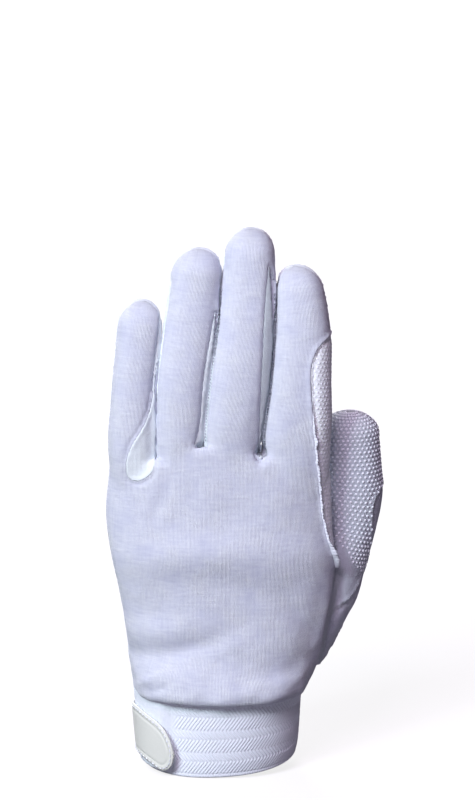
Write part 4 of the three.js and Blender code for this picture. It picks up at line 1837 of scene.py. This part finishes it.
@dataclass
class Wristband:
    """The elastic band: a ring of herringbone ribs, open under the tab, with an overlocked hem."""

    shape: BandShape
    slit: float = 152.0
    slit_half: float = 2.3
    thickness: float = 1.5
    rib: float = 1.55
    rise: float = 4.9
    fall: float = 3.3
    slant: float = 0.9
    depth: float = 0.46
    rib_power: float = 0.8
    turn_dip: float = 0.45
    turn_width: float = 0.35
    hem: float = 1.2
    hem_depth: float = 0.32
    bead: float = 1.1
    bead_height: float = 0.26
    selvedge: float = 1.0
    edge_ease: float = 0.5
    plain_turn: float = 38.0
    plain_share: float = 0.7
    fade: float = 6.0
    columns: int = 580
    rows: int = 84
    woven_columns: float = 0.86

    def relief(self, length: float, z: float, plain_from: float) -> float:
        """Finds how far the weave stands out; it fades where the loop patch begins.

        Args:
            length: How far along the band.
            z: How high on it.
            plain_from: The length past which the band is plain.

        Returns:
            The relief, in millimetres.
        """
        inner = min(z - self.hem, self.shape.top - self.selvedge - z)
        if inner < 0:
            bead = 0.5 + 0.5 * math.sin(length * TURN / self.bead)
            swell = math.sin(math.pi * min(1.0, max(0.0, z / self.hem)))
            return -self.hem_depth + self.bead_height * bead * swell
        count, place = divmod(z - self.hem, self.rise + self.fall)
        run = place if place < self.rise else 2 * self.rise - place
        aside = self.slant * (count * (self.rise - self.fall) + run)
        wave = 0.5 + 0.5 * math.cos(TURN * (length + aside) / self.rib)
        turning = min(place, abs(place - self.rise), self.rise + self.fall - place)
        dip = self.turn_dip * math.exp(-((turning / self.turn_width) ** 2))
        ribs = wave**self.rib_power * min(1.0, inner / self.edge_ease) * (1 - dip)
        plain = float(smooth_step(plain_from - self.fade, plain_from, length))
        return -self.depth + self.depth * (ribs * (1 - plain) + self.plain_share * plain)

    def build(self) -> Piece:
        """Makes the band.

        Returns:
            The band, with its modifiers.
        """
        start, end = self.slit + self.slit_half - 360, self.slit - self.slit_half
        plain_from = float(self.shape.arc(start, end).at("length", self.plain_turn))
        woven = (0, self.woven_columns, 1), (0, (self.plain_turn - start) / (end - start), 1)
        bm = self.shape.plate(
            start, end, self.columns, self.rows, 0.0, lambda turn: (0.0, self.shape.top),
            lambda length, z: self.relief(length, z, plain_from),
            lambda share: float(np.interp(share, *woven)),
        )
        band = object_of("wrist_band_weave", bm)
        thicken(band, self.thickness - self.depth)
        return band


@dataclass
class ClosingTab:
    """The vinyl tab that closes the band, with its stitched edge, and the loop patch under it."""

    shape: BandShape
    sides: Table = Table(
        "turn low high",
        [
            (30.5, 1.0, 17.8), (44, 2.0, 19.9), (56, 3.6, 21.8), (72, 4.2, 23.0), (90, 3.0, 21.8),
            (110, 1.8, 20.4), (140, 2.4, 21.0), (168, 3.6, 22.4),
        ],
    )
    round_over: float = 16.0
    end_share: float = 0.02
    end_lift: float = 1.6
    thickness: float = 1.2
    columns: int = 300
    rows: int = 60
    crowding: float = 1.6
    edge_drop: float = 0.3
    edge_width: float = 0.55
    patch_turns: Span = (33.0, 122.0)
    patch_edges: Span = (1.5, 28.2)
    patch_thickness: float = 1.0
    patch_drop: float = 1.55
    patch_fade: float = 6.0
    patch_inset: float = 0.2
    patch_grid: tuple[int, int] = (150, 56)
    pile: float = 0.14
    pile_rate: float = 1.1
    pile_layer: float = 3.0
    gap: float = 0.3
    margin: float = 2.2
    groove: float = 0.22
    groove_width: float = 0.45
    stitch_margin: float = 0.9
    stitch: float = 1.7
    stitch_gap: float = 0.4
    thread: float = 0.22
    thread_rise: float = 0.058
    outline_steps: int = 400

    def edges(self, turn: float) -> Span:
        """Finds the tab's edges.

        Args:
            turn: The turn, in degrees.

        Returns:
            The lower and the upper edge's heights.
        """
        share = self.past_end(turn)
        low, high = float(self.sides.at("low", turn)), float(self.sides.at("high", turn))
        rounded = math.sqrt(1 - (1 - share) ** 2) * (1 - self.end_share) + self.end_share
        half = (high - low) / 2 * rounded
        return (low + high) / 2 - half, (low + high) / 2 + half

    def past_end(self, turn: float) -> float:
        """The share of the rounded end that lies before a turn."""
        return min(1.0, max(0.0, (turn - self.sides.keys[0]) / self.round_over))

    def lift(self, turn: float) -> float:
        """How far the tab's free end stands off the patch at a turn."""
        return self.end_lift * (1 - self.past_end(turn)) ** 2

    @property
    def outset(self) -> float:
        """How far out of the band's ring the tab's inner face lies."""
        return self.gap + self.patch_thickness + self.gap

    def outline(self) -> Points:
        """Traces the tab's edge from its root along the lower side, round its end and back.

        Returns:
            Each point's turn and height.
        """
        start, end = self.sides.keys[0], self.sides.keys[-1]
        turns = start + (end - start) * np.linspace(1, 0, self.outline_steps) ** 2
        sides = np.array([self.edges(turn) for turn in turns])
        lower = np.column_stack([turns, sides[:, 0]])
        upper = np.column_stack([turns, sides[:, 1]])
        return np.vstack([lower, upper[::-1]])

    def build_tab(self) -> Piece:
        """Makes the tab, with the groove that its stitches lie in.

        Returns:
            The tab, with its modifiers.
        """
        start, end = self.sides.keys[0], self.sides.keys[-1]
        arc = self.shape.arc(start, end)
        tree = tree_of([(float(arc.at("length", turn)), z, 0) for turn, z in self.outline()])

        def relief(length: float, z: float) -> float:
            """How far the tab's face stands out.

            Args:
                length: How far along the tab.
                z: How high on the ring.

            Returns:
                The relief, in millimetres.
            """
            inner = tree.find((length, z, 0))[2]
            edge = self.edge_drop * math.exp(-((inner / self.edge_width) ** 2))
            groove = self.groove * math.exp(-(((inner - self.margin) / self.groove_width) ** 2))
            turn = float(np.interp(length, arc.values[:, 1], arc.values[:, 0]))
            return self.lift(turn) + self.thickness - edge - groove

        bm = self.shape.plate(
            start, end, self.columns, self.rows, self.outset, self.edges, relief,
            lambda share: share**self.crowding,
        )
        tab = object_of("closing_tab_vinyl", bm)
        thicken(tab, self.thickness - self.edge_drop)
        return tab

    def build_patch(self) -> Piece:
        """Makes the loop patch, with its brushed face; its free end thins out into the band.

        Returns:
            The patch, with its modifiers.
        """

        def pile(length: float, z: float) -> float:
            """How far the pile stands out.

            Args:
                length: How far along the patch.
                z: How high on the ring.

            Returns:
                The relief, in millimetres.
            """
            end = self.patch_drop * (1 - float(smooth_step(0.0, self.patch_fade, length)))
            rough = noise.noise(Vector((length * self.pile_rate, z * self.pile_rate, self.pile_layer)))
            return self.patch_thickness - end + self.pile * rough

        bm = self.shape.plate(
            *self.patch_turns, *self.patch_grid, self.gap, lambda turn: self.patch_edges, pile
        )
        patch = object_of("loop_patch_pile", bm)
        thicken(patch, self.patch_thickness - self.patch_inset)
        return patch

    def stitches(self) -> Piece:
        """Makes the row of stitches along the tab's edge.

        Returns:
            The stitches.
        """
        start, end = self.sides.keys[0], self.sides.keys[-1]
        arc = self.shape.arc(start, end)
        outline = self.outline()
        flat = np.column_stack([arc.at("length", outline[:, 0]), outline[:, 1]])
        way = np.gradient(flat, axis=0)
        way /= np.linalg.norm(way, axis=1, keepdims=True)
        inner = flat + self.stitch_margin * np.column_stack([way[:, 1], -way[:, 0]])
        path = []
        for length, z in inner:
            turn = float(np.interp(length, arc.values[:, 1], arc.values[:, 0]))
            outset = self.outset + self.thickness + self.lift(turn) + self.thread_rise
            path.append(self.shape.point(turn, float(z), outset)[:])
        path = np.array(path)
        return stitch_row(
            "closing_tab_stitches", path, path * (1, 1, 0), self.stitch, self.stitch_gap, self.thread
        )


def stitch_row(
    name: str, path: Points, outwards: Points, length: float, gap: float, radius: float
) -> Piece:
    """Lays a row of stitches along a path.

    Args:
        name: The new object's name.
        path: The path's points, in millimetres.
        outwards: The way out of the surface at each point.
        length: A stitch's length.
        gap: The gap between stitches.
        radius: The thread's radius.

    Returns:
        The stitches as one object.
    """
    along = np.concatenate([[0], np.cumsum(np.linalg.norm(np.diff(path, axis=0), axis=1))])
    middles = np.arange(length / 2, along[-1] - length / 2, length + gap)

    def read(values: Points, at: Points) -> Points:
        """Rows of values at some lengths along the path."""
        return np.column_stack([np.interp(at, along, values[:, i]) for i in range(3)])

    ways = read(path, middles + length / 3) - read(path, middles - length / 3)
    bm = bmesh.new()
    bmesh.ops.create_uvsphere(bm, u_segments=STITCH_SIDES, v_segments=STITCH_RINGS, radius=1.0)
    bmesh.ops.rotate(bm, verts=bm.verts, matrix=Matrix.Rotation(math.pi / 2, 3, "Y"))
    bmesh.ops.scale(bm, vec=(length / 2, radius, radius), verts=bm.verts)
    return Stamp.of(bm).scatter(name, read(path, middles), read(outwards, middles), ways)


@dataclass(frozen=True)
class Lamp:
    """A soft square light that faces the glove: its place and size in metres, power and colour."""

    name: str
    place: Triple
    size: float
    power: float
    colour: Triple


@dataclass
class Studio:
    """The camera at the photograph's angle, a pale floor and soft light."""

    elevation: float = 15.0
    focal: float = 400.0
    sensor: float = 36.0
    frame_height: float = 336.0
    middle: Triple = (8.6, 0.0, 153.05)
    floor_z: float = -6.2
    floor_half: float = 6.0
    floor_dark: Triple = (0.18, 0.17, 0.19)
    floor_light: Triple = (0.20, 0.19, 0.21)
    floor_glow: float = 0.8
    floor_speck: float = 20.0
    floor_bump: Span = (0.02, 0.1)
    floor_roughness: float = 0.9
    far: float = 100.0
    sky_side: Triple = (-0.7, -0.36, 0.62)
    sky_low: Triple = (0.06, 0.04, 0.06)
    sky_high: Triple = (0.16, 0.15, 0.17)
    aim: Triple = (0.01, 0.0, 0.12)
    lamps: tuple[Lamp, ...] = (
        Lamp("key", (-0.964, -1.161, 1.181), 0.6, 31, (0.86, 0.99, 1.0)),
        Lamp("fill", (-0.3, -1.15, 1.54), 0.6, 18, (0.98, 0.8, 1.0)),
        Lamp("back", (-0.6, 1.6, 0.9), 1.0, 26, (1.0, 0.98, 1.0)),
    )

    def camera(self) -> None:
        """Sets the scene's camera."""
        data = bpy.data.cameras.new("camera")
        data.lens, data.sensor_width = self.focal, self.sensor
        data.clip_end = self.far
        holder = bpy.data.objects.new("camera", data)
        bpy.context.scene.collection.objects.link(holder)
        tilt = math.radians(self.elevation)
        distance = self.frame_height / 2 / (self.sensor / 2 / self.focal)
        back = Vector((0, -math.cos(tilt), math.sin(tilt)))
        holder.location = (Vector(self.middle) + back * distance) * MM
        holder.rotation_euler = (math.pi / 2 - tilt, 0, 0)
        bpy.context.scene.camera = holder

    def area(self, lamp: Lamp) -> None:
        """Adds a light.

        Args:
            lamp: The light.
        """
        data = bpy.data.lights.new(lamp.name, "AREA")
        data.size, data.energy, data.color = lamp.size, lamp.power, lamp.colour
        holder = bpy.data.objects.new(lamp.name, data)
        bpy.context.scene.collection.objects.link(holder)
        holder.location = lamp.place
        aim = Vector(self.aim) - Vector(lamp.place)
        holder.rotation_euler = aim.to_track_quat("-Z", "Y").to_euler()

    def floor(self) -> None:
        """Adds the floor."""
        bm = bmesh.new()
        bmesh.ops.create_grid(bm, x_segments=1, y_segments=1, size=self.floor_half)
        bmesh.ops.translate(bm, vec=(0, 0, self.floor_z * MM), verts=bm.verts)
        floor = object_of("floor", bm)
        nodes = Nodes("floor")
        place = nodes.add("ShaderNodeTexCoord").outputs["Object"]
        speck = nodes.noise(place, self.floor_speck)
        colour = nodes.blend(speck, self.floor_dark, self.floor_light)
        normal = nodes.bump(speck, *self.floor_bump)
        material = nodes.finish(colour, self.floor_roughness, normal, Emission_Color=(1, 1, 1, 1))
        seen = nodes.add("ShaderNodeLightPath").outputs["Is Camera Ray"]
        nodes.put(nodes.shader.inputs["Emission Strength"], nodes.math("MULTIPLY", seen, self.floor_glow))
        floor.data.materials.append(material)

    def light(self) -> None:
        """Lights the scene."""
        scene = bpy.context.scene
        scene.view_settings.view_transform = "Standard"
        world = bpy.data.worlds.new("studio")
        world.use_nodes = True
        scene.world = world
        tree = world.node_tree
        sky = tree.nodes["Background"]
        view = tree.nodes.new("ShaderNodeTexCoord")
        height = tree.nodes.new("ShaderNodeVectorMath")
        height.operation = "DOT_PRODUCT"
        height.inputs[1].default_value = self.sky_side
        ramp = tree.nodes.new("ShaderNodeValToRGB")
        ramp.color_ramp.elements[0].position, ramp.color_ramp.elements[1].position = 0.0, 1.0
        ramp.color_ramp.elements[0].color = (*self.sky_low, 1)
        ramp.color_ramp.elements[1].color = (*self.sky_high, 1)
        tree.links.new(view.outputs["Generated"], height.inputs[0])
        tree.links.new(height.outputs["Value"], ramp.inputs[0])
        tree.links.new(ramp.outputs[0], sky.inputs["Color"])
        sky.inputs["Strength"].default_value = 1.0
        for lamp in self.lamps:
            self.area(lamp)

    def build(self) -> None:
        """Sets up camera, floor and light."""
        self.camera()
        self.floor()
        self.light()


@dataclass
class RawEdge:
    """The cut edge of the cloth that stands up in a frill along the side strip's seam."""

    low: float = 88.5
    high: float = 152.0
    tail: tuple[Triple, ...] = ((49.3, -5.8, 85.5), (50.6, -4.4, 81.2))
    columns: int = 219
    rows: int = 5
    smoothing: int = 7
    height: float = 2.0
    thickness: float = 0.8
    sway: float = 0.9
    fade_in: float = 18.0
    fade_out: float = 5.0
    tooth: float = 0.14
    tooth_pitch: float = 1.35
    flap_above: float = 5.0
    flap_width: float = 7.0
    outward: Triple = (0.35, -0.94, 0.0)
    across: Triple = (0.94, 0.35, 0.0)
    sunk: float = 0.5
    broad_waves: Triple = (5.2, 1.7, 0.0)
    fine_waves: Triple = (2.1, 8.7, 0.0)
    fine_share: float = 0.6
    height_waves: Triple = (3.1, 5.0, 2.0)
    uneven: Span = (0.85, 0.35)
    flap_rise: float = 0.4
    flap_calm: float = 0.6
    lean: Span = (0.6, 1.5)

    def path(self, seam: Points) -> Points:
        """Smooths the seam's points into even steps, from low to high.

        Args:
            seam: The seam's points, in millimetres.

        Returns:
            The points at which the frill's columns stand.
        """
        line = seam[(seam[:, 2] > self.low) & (seam[:, 2] < self.high)]
        line = np.vstack([line, self.tail])
        line = line[np.argsort(line[:, 2])]
        spots = np.linspace(line[0, 2], line[-1, 2], self.columns + 1)
        smooth = np.column_stack([np.interp(spots, line[:, 2], line[:, i]) for i in range(3)])
        kernel = np.ones(self.smoothing) / self.smoothing
        for axis in (0, 1):
            padded = np.pad(smooth[:, axis], self.smoothing // 2, mode="edge")
            smooth[:, axis] = np.convolve(padded, kernel, mode="valid")
        return smooth

    @staticmethod
    def waves(z: float, size: float, row: float, layer: float) -> float:
        """Noise in waves of a size along the frill, from one row of the noise."""
        return noise.noise(Vector((z / size, row, layer)))

    def point(self, spot: Points, share: float, rise: float) -> Vector:
        """Places a point of the frill, taller where it ends in a flap low on the hand.

        Args:
            spot: The point on the path below it.
            share: The share of the path below that.
            rise: How far up the frill it is, from 0 to 1.

        Returns:
            The point, in millimetres.
        """
        z = spot[2]
        ends = min(1.0, self.fade_in * share, self.fade_out * (1 - share)) ** 0.5
        ruffle = self.waves(z, *self.broad_waves) + self.fine_share * self.waves(z, *self.fine_waves)
        tooth = self.tooth * math.sin(z * TURN / self.tooth_pitch)
        flap = math.exp(-(((z - self.tail[-1][2] - self.flap_above) / self.flap_width) ** 2))
        uneven = self.uneven[0] + self.uneven[1] * self.waves(z, *self.height_waves)
        height = self.height * (1 + self.flap_rise * flap) * uneven + tooth
        side = self.sway * ruffle * rise * ends * (1 - self.flap_calm * flap)
        side += (self.lean[0] + self.lean[1] * flap) * rise * rise
        out = Vector(self.outward) * (height * rise * ends - self.sunk)
        return Vector(spot) + out + Vector(self.across) * (side - self.sunk)

    def build(self, seam: Points) -> Piece:
        """Makes the frill along a seam.

        Args:
            seam: The seam's points, in millimetres.

        Returns:
            The frill.
        """
        path = self.path(seam)
        bm = bmesh.new()
        bmesh.ops.create_grid(bm, x_segments=self.columns, y_segments=self.rows, size=0.5)
        for v in bm.verts:
            i = round((v.co.x + 0.5) * self.columns)
            v.co = self.point(path[i], i / self.columns, v.co.y + 0.5)
        bmesh.ops.scale(bm, vec=(MM, MM, MM), verts=bm.verts)
        bmesh.ops.recalc_face_normals(bm, faces=bm.faces)
        frill = object_of("side_seam_frill", bm)
        thicken(frill, self.thickness, 0.0)
        return frill


@dataclass
class Glove:
    """The whole glove."""

    finishes: Finishes = Finishes()
    cloth: float = 1.0
    stitch: float = 0.85
    stitch_gap: float = 0.45
    stitch_radius: float = 0.3
    stitch_step: float = 0.5
    stitch_from: float = 1.0
    # The finishes worn in a slot's place carry painted light or shade: the side strip lighter, the thumb and
    # the strip between middle and index fingers greyer.
    wear: dict[Panel, tuple[str, str]] = field(  # the slot, and a finish to wear in its place
        default_factory=lambda: {
            Panel.BACK: ("plain_knit", ""),
            Panel.PALM: ("dotted_knit", ""),
            Panel.LITTLE_RING: ("strip_knit", ""),
            Panel.RING_MIDDLE: ("strip_knit", ""),
            Panel.MIDDLE_INDEX: ("strip_knit", "deep_knit"),
            Panel.SIDE: ("dotted_knit", "side_knit"),
            Panel.THUMB_FRONT: ("dotted_knit", "thumb_knit"),
            Panel.THUMB_OUTER: ("plain_knit", ""),
        }
    )
    dots: dict[Panel, GripDots] = field(
        default_factory=lambda: {
            Panel.PALM: GripDots(edge_gap=2.6),
            Panel.THUMB_FRONT: GripDots(),
            Panel.SIDE: GripDots(height=0.12),
        }
    )

    def add(self, piece: Piece, slot: str, *nodes: str, shade: str = "") -> None:
        """Dresses a piece, attaches it to the root body, and hides the solids that it stands for.

        Args:
            piece: The piece.
            slot: Its material slot.
            nodes: The solids that it stands for.
            shade: A finish with painted light or shade to wear in the slot's place.
        """
        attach(piece, "root")
        if nodes:
            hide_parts(*nodes)
        self.finishes.dress(piece, slot, shade)
        LOG.info("%s: %d faces", piece.name, len(piece.data.polygons))

    def sew(self) -> None:
        """Makes the sewn cloth, its dots and its frill."""
        form = HandForm()
        tailor = Tailor(Skin(form), Pattern(form))
        for panel, piece in tailor.pieces().items():
            flat = FlatPattern(form, piece, panel).lay()
            if panel in self.dots:
                bare = tailor.pattern.bare if panel is Panel.THUMB_FRONT else None
                dots = self.dots[panel].print_on(piece, flat, panel.value + "_dots", bare)
                self.add(dots, "grip_dots")
            thicken(piece, self.cloth)
            slot, shade = self.wear[panel]
            self.add(piece, slot, panel.value, shade=shade)
        for panel in (Panel.RING_MIDDLE, Panel.MIDDLE_INDEX):
            # The overlock stitches wear the grey thread: a painted shadow line along each groove.
            self.add(self.overlock(tailor, panel), "thread", shade="grey_thread_painted_shadow")
        seam = tailor.seams[frozenset((Panel.BACK.mark, Panel.SIDE.mark))].reshape(-1, 3)
        self.add(RawEdge().build(seam), "thread")

    def overlock(self, tailor: Tailor, panel: Panel) -> Piece:
        """Makes the small stitches along the seam of a strip with the finger on its right.

        Args:
            tailor: The tailor, after it has cut the pieces.
            panel: The strip.

        Returns:
            The stitches.
        """
        index = STRIP_PANELS.index(panel)
        form = tailor.skin.form
        seam = tailor.seams[frozenset((Panel.BACK.mark, panel.mark))].reshape(-1, 3)
        x, _, z = seam.T
        low = tailor.pattern.strip_low[index] + self.stitch_from
        right = seam[(x > tailor.pattern.strip_right(index, z)) & (z > low)]
        heights = np.arange(right[:, 2].min(), right[:, 2].max(), self.stitch_step)
        order = np.argsort(right[:, 2])
        path = np.column_stack([np.interp(heights, right[order, 2], right[order, i]) for i in range(3)])
        axis = np.column_stack([*form.reach(index + 1, heights)[:2], heights])
        return stitch_row(
            panel.value + "_stitches", path, path - axis, self.stitch, self.stitch_gap, self.stitch_radius
        )

    def close(self) -> None:
        """Makes the wrist band and what closes it."""
        shape = BandShape()
        tab = ClosingTab(shape)
        self.add(Wristband(shape).build(), "band_elastic", "wrist_band")
        self.add(tab.build_patch(), "loop_patch", "loop_patch")
        self.add(tab.build_tab(), "tab_vinyl", "closing_tab")
        self.add(tab.stitches(), "thread")


def main() -> None:
    """Builds the glove and the studio, and logs each piece's face count."""
    logging.basicConfig(level=logging.INFO, format="%(message)s")
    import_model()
    Studio().build()
    glove = Glove()
    glove.sew()
    glove.close()
    bpy.context.view_layer.update()


if __name__ == "__main__":
    main()
